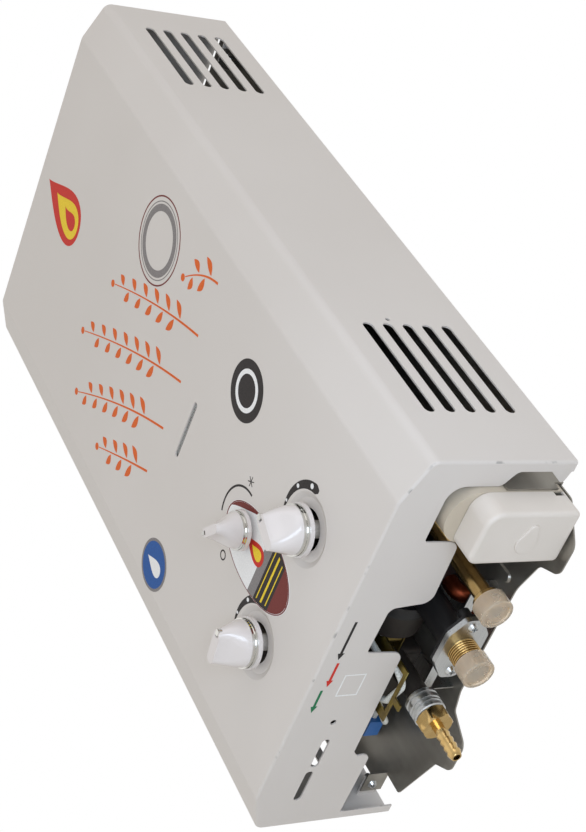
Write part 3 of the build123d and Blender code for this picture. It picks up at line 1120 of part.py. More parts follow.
for label, piece in {
    "front_cover": front_cover.part,
    "back_plate": back_plate.part,
    "cover_screws": cover_screws.part,
    "sight_mesh": sight_mesh.part,
    "combustion_shell": combustion_shell.part,
    "exchanger_fins": exchanger_fins.part,
    "water_coil": water_coil.part,
    "flue_hood": flue_hood.part,
    "shell_straps": shell_straps.part,
    "burner_bars": burner_bars.part,
    "burner_frame": burner_frame.part,
    "gas_manifold": gas_manifold.part,
    "injectors": injectors.part,
    "electrode_bracket": electrode_bracket.part,
    "electrode_insulators": electrode_insulators.part,
    "electrode_tips": electrode_tips.part,
    "gas_valve_body": gas_valve_body.part,
    "gas_solenoid": gas_solenoid.part,
    "water_valve_body": water_valve_body.part,
    "diaphragm": diaphragm.part,
    "diaphragm_cover": diaphragm_cover.part,
    "clamp_screws": clamp_screws.part,
    "push_rod": push_rod.part,
    "gas_plunger": gas_plunger.part,
    "return_spring": return_spring.part,
    "switch_bracket": switch_bracket.part,
    "switch_lever": switch_lever.part,
    "microswitch": microswitch.part,
    "gas_collar": gas_collar.part,
    "gas_nut": gas_nut.part,
    "hose_tail": hose_tail.part,
    "inlet_flange": inlet_flange.part,
    "flange_screws": flange_screws.part,
    "inlet_nipple": inlet_nipple.part,
    "outlet_pipe": outlet_pipe.part,
    "inlet_cap": inlet_cap,
    "outlet_cap": outlet_cap,
    "valve_bracket": valve_bracket.part,
    "season_valve_body": season_valve_body.part,
    "gas_tubes": gas_tubes.part,
    "igniter_box": igniter_box.part,
    "igniter_plug": igniter_plug.part,
    "lead_sleeve": lead_sleeve.part,
    "battery_box": battery_box.part,
    "battery_bracket": battery_bracket.part,
    "battery_contacts": battery_contacts.part,
    "battery_lid": battery_lid.part,
    "lid_contact": lid_contact.part,
    "gas_knob": gas_knob,
    "gas_knob_ring": gas_knob_ring,
    "gas_knob_pointer": gas_knob_pointer,
    "water_knob": water_knob,
    "water_knob_ring": water_knob_ring,
    "water_knob_pointer": water_knob_pointer,
    "season_knob": season_knob,
    "season_knob_ring": season_knob_ring,
    "season_knob_pointer": season_knob_pointer,
    "gas_spindle": gas_spindle.part,
    "water_spindle": water_spindle.part,
    "season_spindle": season_spindle.part,
}.items():
    save(piece, label)
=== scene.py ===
# %% [markdown]
# A wall-hung gas water heater, dressed for its portrait. The solids come from a packed
# model that holds every piece in its place, so this lesson only adds what the eye needs:
# a camera, light, finishes, prints, and the fine pieces that a solid model leaves plain.

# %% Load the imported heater
import math
from types import SimpleNamespace as Sizes

import bmesh
import bpy
from mathutils import Matrix, Vector


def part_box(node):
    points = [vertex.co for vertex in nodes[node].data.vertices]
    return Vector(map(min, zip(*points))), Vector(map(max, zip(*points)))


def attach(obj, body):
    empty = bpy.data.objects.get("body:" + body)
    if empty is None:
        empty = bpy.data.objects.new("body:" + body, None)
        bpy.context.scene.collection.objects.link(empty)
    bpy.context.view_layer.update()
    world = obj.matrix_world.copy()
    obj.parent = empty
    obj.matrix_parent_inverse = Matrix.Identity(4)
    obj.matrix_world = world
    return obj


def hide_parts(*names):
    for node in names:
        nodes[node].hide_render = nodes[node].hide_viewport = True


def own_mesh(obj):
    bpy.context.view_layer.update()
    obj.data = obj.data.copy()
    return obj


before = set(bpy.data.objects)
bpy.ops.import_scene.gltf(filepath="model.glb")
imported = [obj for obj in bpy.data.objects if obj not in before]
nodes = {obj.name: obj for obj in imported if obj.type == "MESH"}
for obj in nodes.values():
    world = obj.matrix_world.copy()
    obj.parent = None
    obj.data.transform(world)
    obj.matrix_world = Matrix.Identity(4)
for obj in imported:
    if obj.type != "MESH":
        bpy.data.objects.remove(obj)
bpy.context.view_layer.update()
MM = 0.001


def placed(name, data):
    """A new object in the scene."""
    made = bpy.data.objects.new(name, data)
    bpy.context.scene.collection.objects.link(made)
    return made


print("nodes loaded:", len(nodes))

# %% [markdown]
# The camera stands below the heater, in front of it and to its right, and is rolled, so
# that the heater lies slantwise across a tall picture. Its place was found by fitting the
# casing's corners and vents, which is surer than turning a camera by eye.

# %% Camera
IMAGE_W = 586
IMAGE_H = 832
SENSOR_MM = 36.0
FOCAL_PX = 1748.74
NEAR_CLIP = 0.01
CAMERA_PLACE = Vector((0.70622, -0.72946, -0.64653))
CAMERA_RIGHT = Vector((0.33355, 0.85171, -0.40414))
CAMERA_UP = Vector((0.78276, -0.01130, 0.62223))
CAMERA_BACK = Vector((0.52539, -0.52389, -0.67045))

lens = bpy.data.cameras.new("portrait_lens")
lens.sensor_width = SENSOR_MM
lens.lens = SENSOR_MM * FOCAL_PX / max(IMAGE_W, IMAGE_H)
lens.clip_start = NEAR_CLIP
camera = placed("portrait_camera", lens)
turn = Matrix((CAMERA_RIGHT, CAMERA_UP, CAMERA_BACK)).transposed()
camera.matrix_world = Matrix.Translation(CAMERA_PLACE) @ turn.to_4x4()
bpy.context.scene.camera = camera
bpy.context.scene.view_settings.view_transform = "Standard"
print("lens mm:", round(lens.lens, 2))

# %% [markdown]
# Every finish below is a small tree of nodes, and so are the screws and threads. A few
# helpers keep the trees short: one turns a written colour into the linear light that
# Blender counts in, one fills a node's sockets, and one adds a node with its settings and
# links in a single call. Nearly every surface drifts a little in tone and gloss, in clouds
# of some millimetres, and several have a fine grain, so two more helpers give a shader
# such clouds and grains.

# %% Helpers for node trees
# Socket numbers of the Mix node when it mixes colours
FACTOR, TONE_A, TONE_B, MIXED = 0, 6, 7, 2
WHOLE = (0.0, 1.0)


def linear(hex_colour):
    """An sRGB hex colour as linear red, green, blue and alpha."""
    shares = [int(hex_colour[i:i + 2], 16) / 255 for i in (1, 3, 5)]
    light = [c / 12.92 if c <= 0.04045 else ((c + 0.055) / 1.055) ** 2.4 for c in shares]
    return (*light, 1.0)


def plug(tree, node, inputs):
    """Fills sockets by name or number: a socket or a node's first output is linked, the rest are values."""
    for socket, value in inputs.items():
        if isinstance(value, bpy.types.Node):
            value = value.outputs[0]
        if isinstance(value, bpy.types.NodeSocket):
            tree.links.new(value, node.inputs[socket])
        else:
            node.inputs[socket].default_value = value


def add(tree, kind, inputs=None, **settings):
    """Adds a node with its settings and links."""
    made = tree.nodes.new(kind)
    for name, value in settings.items():
        setattr(made, name, value)
    plug(tree, made, inputs or {})
    return made


def new_finish(name):
    """A new material: its tree, its Principled shader and the piece's own coordinates."""
    made = bpy.data.materials.new(name)
    made.use_nodes = True
    tree = made.node_tree
    place = add(tree, "ShaderNodeTexCoord").outputs["Object"]
    return made, tree, tree.nodes["Principled BSDF"], place


def per_metre(size_mm):
    """Texture scale that gives a pattern of this size, in millimetres."""
    return 1.0 / (size_mm * MM)


def clouded(tree, shader, place, size_mm, detail, tones, gloss, sockets, tone_span=WHOLE, gloss_span=WHOLE):
    """Drifts a shader between two tones and two roughnesses, in clouds; gives back the clouds and the tone."""
    cloud = add(tree, "ShaderNodeTexNoise", {"Vector": place, "Scale": per_metre(size_mm), "Detail": detail})
    low, high = tone_span
    share = add(tree, "ShaderNodeMapRange", {"Value": cloud, "From Min": low, "From Max": high})
    mix = add(tree, "ShaderNodeMix", {FACTOR: share, TONE_A: linear(tones[0]), TONE_B: linear(tones[1])},
              data_type="RGBA")
    low, high = gloss_span
    rough = add(tree, "ShaderNodeMapRange", {"Value": cloud, "From Min": low, "From Max": high,
                                             "To Min": gloss[0], "To Max": gloss[1]})
    plug(tree, shader, {"Base Color": mix.outputs[MIXED], "Roughness": rough, **sockets})
    return cloud, mix.outputs[MIXED]


def only_clouds(name, *clouds, **spans):
    """A new finish that is nothing but clouds."""
    made, tree, shader, place = new_finish(name)
    clouded(tree, shader, place, *clouds, **spans)
    return made


def grained(tree, shader, place, size_mm, detail, strength, depth_mm):
    """Pebbles a shader with grains of this size and depth, in mm."""
    grain = add(tree, "ShaderNodeTexNoise", {"Vector": place, "Scale": per_metre(size_mm), "Detail": detail})
    bump = add(tree, "ShaderNodeBump", {"Height": grain, "Strength": strength, "Distance": depth_mm * MM})
    plug(tree, shader, {"Normal": bump})


print("helpers ready")

# %% [markdown]
# The background is white and has no edge. A world that is white to the camera and through
# clear surfaces, a little dimmer in reflections and dimmer again as a lamp, gives that
# without washing out the pale casing. A floor far below still catches a shadow, and is
# clear from beneath, so that it never stands between a low camera and the heater.

# %% World and floor
AMBIENT = 0.62
GLOSS_SHARE = 0.5
FLOOR_Z = -0.80
FLOOR_HALF = 30.0
FLOOR_ROUGHNESS = (0.9, 0.9)
world = bpy.data.worlds.new("studio_air")
bpy.context.scene.world = world
world.use_nodes = True
sky = world.node_tree
sky.nodes.clear()
ray = add(sky, "ShaderNodeLightPath").outputs
direct = add(sky, "ShaderNodeMath", {0: ray["Is Camera Ray"], 1: ray["Is Transmission Ray"]},
             operation="MAXIMUM")
shine = add(sky, "ShaderNodeMath", {0: ray["Is Glossy Ray"], 1: GLOSS_SHARE}, operation="MULTIPLY")
seen = add(sky, "ShaderNodeMath", {0: direct, 1: shine}, operation="MAXIMUM")
white = add(sky, "ShaderNodeBackground", {"Color": (1, 1, 1, 1), "Strength": 1.0})
soft = add(sky, "ShaderNodeBackground", {"Color": linear("#FBFAF8"), "Strength": AMBIENT})
air = add(sky, "ShaderNodeMixShader", {0: seen, 1: soft, 2: white})
add(sky, "ShaderNodeOutputWorld", {"Surface": air})

floor_paint, tree, shader, place = new_finish("matt_floor_paint")
clouded(tree, shader, place, 40, 3.0, ("#F2F2F1", "#FAFAF9"), FLOOR_ROUGHNESS, {})
below = add(tree, "ShaderNodeNewGeometry").outputs["Backfacing"]
clear = add(tree, "ShaderNodeBsdfTransparent")
one_way = add(tree, "ShaderNodeMixShader", {0: below, 1: shader, 2: clear})
plug(tree, tree.nodes["Material Output"], {"Surface": one_way})
floor_mesh = bpy.data.meshes.new("pale_floor")
corners = [(u * FLOOR_HALF, v * FLOOR_HALF, FLOOR_Z) for u, v in ((-1, -1), (1, -1), (1, 1), (-1, 1))]
floor_mesh.from_pydata(corners, [], [(0, 1, 2, 3)])
floor_mesh.materials.append(floor_paint)
floor = placed("pale_floor", floor_mesh)
print("floor at", FLOOR_Z)

# %% [markdown]
# The light is broad and soft, with long bright windows in the gloss of the knobs. Three
# large area lamps do that: a key on the camera's left, a fill on its right and a low lamp
# that reaches the connections below the casing.

# %% Lamps
HEART = (0.0, -0.06, 0.25)
PORTS = (0.03, -0.05, 0.0)


def lamp(name, place, target, width, height, watts, tint):
    """A rectangular area lamp that looks at a point."""
    data = bpy.data.lights.new(name, "AREA")
    data.shape = "RECTANGLE"
    data.size = width
    data.size_y = height
    data.energy = watts
    data.color = linear(tint)[:3]
    aim = (Vector(target) - Vector(place)).to_track_quat("-Z", "Y")
    placed(name, data).matrix_world = Matrix.Translation(Vector(place)) @ aim.to_matrix().to_4x4()


lamp("key_window", (-0.6, -1.85, 0.45), HEART, 2.4, 2.4, 4.5, "#FFFAF6")
lamp("side_window", (1.7, -0.6, 0.7), HEART, 1.2, 1.6, 5.2, "#FFFBFD")
lamp("low_window", (0.7, -0.6, -0.75), PORTS, 0.9, 0.6, 11.5, "#D6E8FF")
print("lamps:", len(bpy.data.lights))

# %% [markdown]
# The casing is steel sheet with a warm white powder coat. Powder melts into a skin with a
# faint orange peel, a millimetre or two from crest to crest, and a satin gloss. A bump of
# that size and a slow drift of tone keep the big flat front from looking like paper. At
# the folded bottom edge the coat is rubbed through here and there, and grey steel shows.

# %% Powder coat
RUB_HEIGHT = 1.6
RUB_FOOT = 0.12


def powder_coated_steel():
    """Satin and slightly pebbled; drifts a little in tone; grey where the bottom fold is rubbed."""
    made, tree, shader, place = new_finish("powder_coated_steel")
    tone = clouded(tree, shader, place, 160, 2.0, ("#CCC5BE", "#D6D0CA"), (0.34, 0.44), {"IOR": 1.5})[1]
    height = add(tree, "ShaderNodeSeparateXYZ", {0: place}).outputs["Z"]
    low = add(tree, "ShaderNodeMapRange", {"Value": height, "From Min": 0.0, "From Max": RUB_HEIGHT * MM,
                                           "To Min": 0.75, "To Max": 0.0})
    smudge = add(tree, "ShaderNodeTexNoise", {"Vector": place, "Scale": per_metre(14), "Detail": 5.0})
    patch = add(tree, "ShaderNodeMapRange", {"Value": smudge, "From Min": 0.60, "From Max": 0.68})
    inside = add(tree, "ShaderNodeMath", {0: height, 1: RUB_FOOT * MM}, operation="GREATER_THAN")
    rub = add(tree, "ShaderNodeMath", {0: low, 1: patch}, operation="MULTIPLY")
    rub = add(tree, "ShaderNodeMath", {0: rub, 1: inside}, operation="MULTIPLY")
    worn = add(tree, "ShaderNodeMix", {FACTOR: rub, TONE_A: tone, TONE_B: linear("#6E6A66")}, data_type="RGBA")
    plug(tree, shader, {"Base Color": worn.outputs[MIXED]})
    grained(tree, shader, place, 1.8, 1.0, 0.12, 0.08)
    return made


finishes = {"enamel": powder_coated_steel()}
print("coat:", finishes["enamel"].name)

# %% [markdown]
# Zinc meets the eye in four ways here. Dipped sheet freezes into spangles, flat crystals
# that each shine a little differently; electroplated zinc is bright and bluish; a yellow
# passivation gives a gold skin with hints of pink and green, here dulled to olive as painted
# shade; and die-cast zinc has a dull cast grain, here painted near black as the shade inside
# the casing. A cell pattern makes the spangles, and noise of a few millimetres the rest.

# %% Zinc finishes
METAL = {"Metallic": 1.0}


def hot_dip_galvanised_steel():
    """Grey-olive sheet, streaked along its rolling, with faint spangles about 7 mm across."""
    made, tree, shader, place = new_finish("hot_dip_galvanised_steel")
    crystal = add(tree, "ShaderNodeTexVoronoi", {"Vector": place, "Scale": per_metre(7), "Smoothness": 0.6},
                  feature="SMOOTH_F1")
    share = add(tree, "ShaderNodeSeparateColor", {0: crystal.outputs["Color"]})
    rolled = add(tree, "ShaderNodeMapping", {"Vector": place, "Scale": (1.0, 1.0, 0.05)})
    streak = add(tree, "ShaderNodeTexNoise", {"Vector": rolled, "Scale": per_metre(12), "Detail": 2.0})
    blend = add(tree, "ShaderNodeMath", {0: share, 1: 0.30, 2: streak}, operation="MULTIPLY_ADD")
    span = add(tree, "ShaderNodeMapRange", {"Value": blend, "From Min": 0.30, "From Max": 0.98})
    tone = add(tree, "ShaderNodeMix", {FACTOR: span, TONE_A: linear("#98938A"), TONE_B: linear("#ABA79E")},
               data_type="RGBA")
    rough = add(tree, "ShaderNodeMapRange", {"Value": share, "To Min": 0.36, "To Max": 0.46})
    plug(tree, shader, {"Base Color": tone.outputs[MIXED], "Roughness": rough, "Metallic": 0.85})
    return made


def bright_zinc_plate():
    """Bluish bright plating with fine brush lines left from the sheet."""
    made, tree, shader, place = new_finish("bright_zinc_plate")
    drawn = add(tree, "ShaderNodeMapping", {"Vector": place, "Scale": (0.06, 1.0, 1.0)})
    clouded(tree, shader, drawn, 1.2, 3.0, ("#BDC0C2", "#E4E5E3"), (0.22, 0.38), METAL)
    return made


def shade_dark_cast_zinc():
    """A casting with a sandy grain, drawn about a millimetre coarse so that it shows; its dull grey is painted
    near black as the shade inside the casing.
    """
    made, tree, shader, place = new_finish("shade_dark_cast_zinc")
    clouded(tree, shader, place, 22, 2.0, ("#322D29", "#453F39"), (0.45, 0.60), {"Metallic": 0.6})
    grained(tree, shader, place, 1.1, 4.0, 0.35, 0.15)
    return made


finishes["galvanised"] = hot_dip_galvanised_steel()
finishes["bright_zinc"] = bright_zinc_plate()
# Gold chromate skin that drifts towards pink and green in patches of a few millimetres, dulled to a dark olive
# as painted shade from the casing's flange above it
finishes["yellow_zinc"] = only_clouds("shade_dulled_yellow_zinc", 8, 3.0, ("#8E7D40", "#7A6A44"), (0.34, 0.50),
                                      METAL, tone_span=(0.35, 0.65))
# Die-cast valve bodies, painted near black as the shade inside the casing
finishes["cast_zinc"] = shade_dark_cast_zinc()
print("finishes so far:", len(finishes))

# %% [markdown]
# The water side is copper and brass. Copper tube darkens to a red brown as it is brazed
# and handled; turned brass keeps fine rings from the lathe tool; bare steel is dull. The
# rings of the tool are finer than the picture shows, so they are drawn 4.4 mm apart. The
# rings and pointers of the knobs are plated plastic, a mirror that is never quite flat.

# %% Copper, brass, steel and chrome
RING_MM = 4.4
# A wave texture repeats after this length of its scaled coordinate
WAVE_LENGTH = math.pi / 10
TORCH = (0.38, 0.66)


def turned_brass():
    """Gold yellow metal with the lathe's fine rings round the upright axis, and light tarnish."""
    made, tree, shader, place = new_finish("turned_brass")
    clouded(tree, shader, place, 9, 3.0, ("#E0C288", "#BA975A"), (0.15, 0.28), METAL)
    ring = add(tree, "ShaderNodeTexWave", {"Vector": place, "Scale": WAVE_LENGTH * per_metre(RING_MM),
                                           "Distortion": 0.3}, wave_type="BANDS", bands_direction="Z")
    bump = add(tree, "ShaderNodeBump", {"Height": ring.outputs["Fac"], "Strength": 0.10, "Distance": 0.05 * MM})
    plug(tree, shader, {"Normal": bump})
    return made


def chrome_plated_plastic():
    """Mirror plating over a moulding, with the slow waviness of the plastic beneath."""
    made, tree, shader, place = new_finish("chrome_plated_plastic")
    wave = clouded(tree, shader, place, 7, 1.0, ("#CFCFCB", "#E6E5E0"), (0.05, 0.12), METAL)[0]
    bump = add(tree, "ShaderNodeBump", {"Height": wave, "Strength": 0.10, "Distance": 0.2 * MM})
    plug(tree, shader, {"Normal": bump})
    return made


# Red brown tube and sheet, darker in clouds where the torch has been
finishes["copper"] = only_clouds("brazed_copper", 26, 4.0, ("#96492C", "#5E2A1C"), (0.26, 0.50), METAL,
                                 tone_span=TORCH, gloss_span=TORCH)
finishes["brass"] = turned_brass()
# Bare grey steel with a faint oil-dulled grain
finishes["steel"] = only_clouds("cold_rolled_steel", 4, 4.0, ("#757574", "#A5A5A3"), (0.30, 0.50), METAL)
finishes["chrome"] = chrome_plated_plastic()
print("finishes so far:", len(finishes))

# %% [markdown]
# The knobs, the battery box and the small covers are injection moulded. A polished mould
# gives the knobs a deep gloss, a spark-eroded one gives the box a fine satin grain. The
# thread caps are milky polyethylene, thin enough for light and a hint of brass to come
# through, so they let most of the light pass.

# %% Moulded plastics
FLOW_MM = 30
GLOSS_DRIFT = 0.08
GRAIN_DEPTH = 0.1


def moulded_plastic(name, shade, colour, gloss, grain_mm, strength):
    """A moulding: a little shading in the colour, and the mould's own grain as a bump."""
    made, tree, shader, place = new_finish(name)
    clouded(tree, shader, place, FLOW_MM, 2.0, (shade, colour), (gloss, gloss + GLOSS_DRIFT), {"IOR": 1.53})
    grained(tree, shader, place, grain_mm, 2.0, strength, GRAIN_DEPTH)
    return made


finishes["knob_white"] = moulded_plastic("polished_abs_white", "#D7D0CC", "#DFD8D4", 0.10, 3.0, 0.03)
finishes["box_white"] = moulded_plastic("satin_abs_white", "#D3CBC1", "#DCD4CB", 0.34, 0.9, 0.12)
# The battery box: a cream tint of its own, made darker than the lid's white as painted shade where it sits
# behind the lid
finishes["box_cream"] = moulded_plastic("satin_abs_cream_with_painted_shade", "#BBAF9B", "#C9BEAD", 0.36, 0.9, 0.12)
finishes["black_plastic"] = moulded_plastic("glass_filled_nylon", "#121112", "#1C1B1C", 0.38, 0.8, 0.20)
finishes["blue_plastic"] = moulded_plastic("blue_polypropylene", "#2C5F9E", "#3C78BE", 0.30, 1.2, 0.10)
# Thin cloudy moulding: most of the light goes through, softened by the wax in it
finishes["cap_milky"] = only_clouds("milky_polyethylene", 6, 2.0, ("#F3DFC2", "#F9EDDA"), (0.20, 0.32),
                                    {"IOR": 1.51, "Transmission Weight": 0.68})
print("finishes so far:", len(finishes))

# %% [markdown]
# Three small materials remain: the woven glass sleeve over the leads, the glazed
# insulators of the spark rods, and the rubber diaphragm. The sleeve's braid is finer than
# a picture shows, so its checks are drawn 1.2 mm wide.

# %% Sleeve, glaze and rubber
def woven_glass_sleeve():
    """White braid: two sets of slanted yarns that cast a fine check of shade."""
    made, tree, shader, place = new_finish("woven_glass_sleeve")
    slant = add(tree, "ShaderNodeMapping", {"Vector": place, "Rotation": (0.6, 0.7, 0.5)})
    check = add(tree, "ShaderNodeTexChecker", {"Vector": slant, "Scale": per_metre(1.2),
                                               "Color1": linear("#E3E3DC"), "Color2": linear("#C9C9C0")})
    bump = add(tree, "ShaderNodeBump", {"Height": check.outputs["Fac"], "Strength": 0.4, "Distance": 0.2 * MM})
    plug(tree, shader, {"Base Color": check.outputs["Color"], "Roughness": 0.7, "Normal": bump})
    return made


finishes["sleeve_white"] = woven_glass_sleeve()
# Ivory glaze, glossy and slightly uneven
finishes["ceramic"] = only_clouds("glazed_ceramic", 5, 2.0, ("#E8E3D6", "#F4F1E9"), (0.12, 0.24), {"IOR": 1.55})
# Black sheet rubber with a dusty, cloth-pressed face
finishes["rubber"] = only_clouds("nitrile_rubber", 3, 4.0, ("#1F1F1E", "#3A3936"), (0.6, 0.85), {"IOR": 1.52})
print("finishes:", len(finishes))

# %% [markdown]
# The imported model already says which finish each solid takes: its one material slot
# carries the slot's name. So dressing the solids is a single loop, with no list of pieces.

# %% Dress the solids
for node in nodes.values():
    for place in node.material_slots:
        place.material = finishes[place.material.name.split(".")[0]]
print("dressed:", len(nodes))

# %% [markdown]
# New pieces are plain meshes. Turned parts, such as the nut, the collar and the threaded
# ends, are a closed outline swept round an upright axis, as on a lathe; a radius may also
# be a rule of the angle, which makes the hexagon. Each piece rides on the heater's body,
# and a finer copy of a solid stands in for the plain one.

# %% Helpers for pieces
SMOOTH_TURN = math.radians(32)
WELD_MM = 0.002


def settle(name, mesh, finish):
    """Makes a finished piece of a mesh that is already in its place on the heater."""
    mesh.materials.clear()
    mesh.materials.append(finish)
    piece = placed(name, mesh)
    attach(piece, "heater")
    return piece


def stand_in(name, mesh, slot, node):
    """A finer piece that is shown in place of a plain solid."""
    piece = settle(name, mesh, finishes[slot])
    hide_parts(node)
    return piece


def to_mesh(name, made):
    """Closes a bmesh: merges doubles, turns faces outwards and smooths all but sharp edges."""
    bmesh.ops.remove_doubles(made, verts=made.verts, dist=WELD_MM * MM)
    bmesh.ops.recalc_face_normals(made, faces=made.faces)
    mesh = bpy.data.meshes.new(name)
    made.to_mesh(mesh)
    made.free()
    mesh.polygons.foreach_set("use_smooth", [True] * len(mesh.polygons))
    mesh.set_sharp_from_angle(angle=SMOOTH_TURN)
    return mesh


def turned(name, outline, axis, sides):
    """A closed outline of (radius or rule of the angle, height) turned about an upright axis, in mm."""
    made = bmesh.new()
    rows = []
    for step in range(sides):
        angle = 2 * math.pi * step / sides
        row = []
        for reach, height in outline:
            radius = reach(angle) if callable(reach) else reach
            row.append(made.verts.new(((axis[0] + radius * math.cos(angle)) * MM,
                                       (axis[1] + radius * math.sin(angle)) * MM, height * MM)))
        rows.append(row)
    for row, following in zip(rows, rows[1:] + rows[:1]):
        for i in range(len(outline)):
            j = (i + 1) % len(outline)
            made.faces.new((row[i], row[j], following[j], following[i]))
    return to_mesh(name, made)


def grown(name, mesh, tree, values):
    """Runs a geometry tree on a mesh with its named inputs set, and gives back a plain mesh."""
    holder = placed(name, mesh)
    modifier = holder.modifiers.new(name, "NODES")
    modifier.node_group = tree
    for item in tree.interface.items_tree:
        if item.in_out == "INPUT" and item.name in values:
            modifier[item.identifier] = values[item.name]
    shaped = holder.evaluated_get(bpy.context.evaluated_depsgraph_get())
    made = bpy.data.meshes.new_from_object(shaped)
    bpy.data.objects.remove(holder)
    return made


def new_tree(name, lengths, vectors):
    """An empty geometry tree with a geometry in and out, and named inputs for its sizes and its finish."""
    tree = bpy.data.node_groups.new(name, "GeometryNodeTree")
    tree.interface.new_socket("Geometry", in_out="OUTPUT", socket_type="NodeSocketGeometry")
    kinds = {"Geometry": ("Geometry",), "Float": lengths, "Vector": vectors, "Material": ("Finish",)}
    for kind, labels in kinds.items():
        for label in labels:
            tree.interface.new_socket(label, in_out="INPUT", socket_type="NodeSocket" + kind)
    return tree, add(tree, "NodeGroupInput").outputs


def end_tree(tree, shape, finish):
    """Ends a geometry tree: copies made real, the finish set, and the result given out."""
    plain = add(tree, "GeometryNodeRealizeInstances", {0: shape})
    dressed = add(tree, "GeometryNodeSetMaterial", {"Geometry": plain, "Material": finish})
    add(tree, "NodeGroupOutput", {0: dressed})
    return tree


print("piece helpers ready")

# %% [markdown]
# The return spring sits inside the gas valve between its seat and the plunger. A merged
# copy of the solid stands for it.

# %% Return spring
low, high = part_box("return_spring")
made = bmesh.new()
made.from_mesh(nodes["return_spring"].data)
spring = stand_in("valve_spring", to_mesh("valve_spring", made), "steel", "return_spring")
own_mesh(spring)
print("spring length mm:", round((high.x - low.x) / MM, 1))

# %% [markdown]
# A pipe thread is one ridge wound round a tube. It could be carved, but a wound ridge is
# closer to the real thing and to how Geometry Nodes think: a spiral curve, a small diamond
# swept along it, and the tube joined in. The tree takes the pitch, the number of turns,
# the radius at the ridge's middle and the ridge's half height.

# %% Thread tree
THREAD_STEPS = 40
DIAMOND = 4


def thread_tree():
    """One ridge wound round the tube that comes in."""
    tree, given = new_tree("pipe_thread", ("Pitch", "Turns", "Radius", "Ridge"), ("Place",))
    rise = add(tree, "ShaderNodeMath", {0: given["Pitch"], 1: given["Turns"]}, operation="MULTIPLY")
    helix = add(tree, "GeometryNodeCurveSpiral", {
        "Resolution": THREAD_STEPS, "Rotations": given["Turns"], "Start Radius": given["Radius"],
        "End Radius": given["Radius"], "Height": rise})
    level = add(tree, "GeometryNodeSetCurveNormal", {"Curve": helix}, mode="Z_UP")
    crest = add(tree, "GeometryNodeCurvePrimitiveCircle", {"Resolution": DIAMOND, "Radius": given["Ridge"]})
    ridge = add(tree, "GeometryNodeCurveToMesh", {"Curve": level, "Profile Curve": crest, "Fill Caps": True})
    wound = add(tree, "GeometryNodeTransform", {"Geometry": ridge, "Translation": given["Place"]})
    both = add(tree, "GeometryNodeJoinGeometry", {0: given["Geometry"]})
    plug(tree, both, {0: wound})
    return end_tree(tree, both, given["Finish"])


thread = thread_tree()
print("thread tree nodes:", len(thread.nodes))

# %% [markdown]
# The cold inlet is a brass nipple with a half-inch pipe thread, 14 threads to the inch,
# and the hot outlet is a brass pipe whose flared end has the same thread. Both mouths are
# chamfered so that a union starts easily.

# %% Threaded ends
THREAD_R = 10.48
THREAD_PITCH = 1.814
THREAD_RIDGE = 0.62
THREAD_SINK = 0.3
THREAD_CORE = THREAD_R - 2 * THREAD_RIDGE + THREAD_SINK
MOUTH_CHAMFER = 1.0
LATHE_SIDES = 72
COLD = (28.0, -40.0)
NIPPLE = Sizes(mouth=-45.0, shoulder=-24.0, top=-21.0, bore=7.5, spigot=9.4)
HOT = (73.0, -42.0)
PIPE = Sizes(mouth=-36.0, shoulder=-25.5, collar=-22.5, top=110.0, bore=5.0, flange=9.2, tube=6.35, edge=0.6)


def threaded_end(name, node, axis, size, above):
    """A brass tube with a thread wound round its mouth; `above` is its outline past the shoulder."""
    outline = [(size.bore, size.mouth), (THREAD_CORE - MOUTH_CHAMFER, size.mouth),
               (THREAD_CORE, size.mouth + MOUTH_CHAMFER), (THREAD_CORE, size.shoulder), *above,
               (size.bore, size.top)]
    core = turned(name + "_core", outline, axis, LATHE_SIDES)
    run = size.shoulder - size.mouth - MOUTH_CHAMFER - 2 * THREAD_RIDGE
    start = (axis[0] * MM, axis[1] * MM, (size.mouth + MOUTH_CHAMFER + THREAD_RIDGE) * MM)
    wound = grown(name, core, thread, {
        "Pitch": THREAD_PITCH * MM, "Turns": run / THREAD_PITCH, "Ridge": THREAD_RIDGE * MM,
        "Radius": (THREAD_R - THREAD_RIDGE) * MM, "Place": start, "Finish": finishes["brass"]})
    stand_in(name, wound, "brass", node)


threaded_end("cold_nipple", "inlet_nipple", COLD, NIPPLE,
             [(NIPPLE.spigot, NIPPLE.shoulder), (NIPPLE.spigot, NIPPLE.top)])
threaded_end("hot_pipe", "outlet_pipe", HOT, PIPE,
             [(PIPE.flange, PIPE.shoulder), (PIPE.flange, PIPE.collar - PIPE.edge),
              (PIPE.flange - PIPE.edge, PIPE.collar), (PIPE.tube, PIPE.collar), (PIPE.tube, PIPE.top)])
print("thread core mm:", round(THREAD_CORE, 2))

# %% [markdown]
# The gas side ends in a collar with turned grooves, a union nut and a hose tail with four
# barbs. A real nut's corners are chamfered where they meet its faces: the radius is the
# smaller of the hexagon and a cone, which gives the curved shoulder of a bought nut.

# %% Gas union
GAS = (-30.0, -40.0)
NECK_R = 8.05
COLLAR = Sizes(low=-28.0, high=-12.0, r=11.5, depth=0.9, edge=0.8)
GROOVE_RISES = (3.0, 6.0, 11.0)
# The corners of a groove: rise, and share of its depth
GROOVE = ((0.0, 0), (0.5, 1), (1.3, 1), (1.8, 0))
NUT = Sizes(low=-38.5, high=-28.4, half=10.5, turn=math.radians(15), bore=4.65, chamfer=1.0, seat=-32.5,
            proud=0.15, sides=96)
TAIL = Sizes(tip=-65.0, top=-30.05, r=4.0, nose=3.5, root=3.8, barb=4.85, bore=2.6, lead=0.6, pitch=5.0,
             count=4, shank=4.6, shank_low=-38.9, head=7.6, head_low=-32.45, sides=56)
# Where along its pitch a barb's crest begins and ends
CREST = (0.8, 0.88)

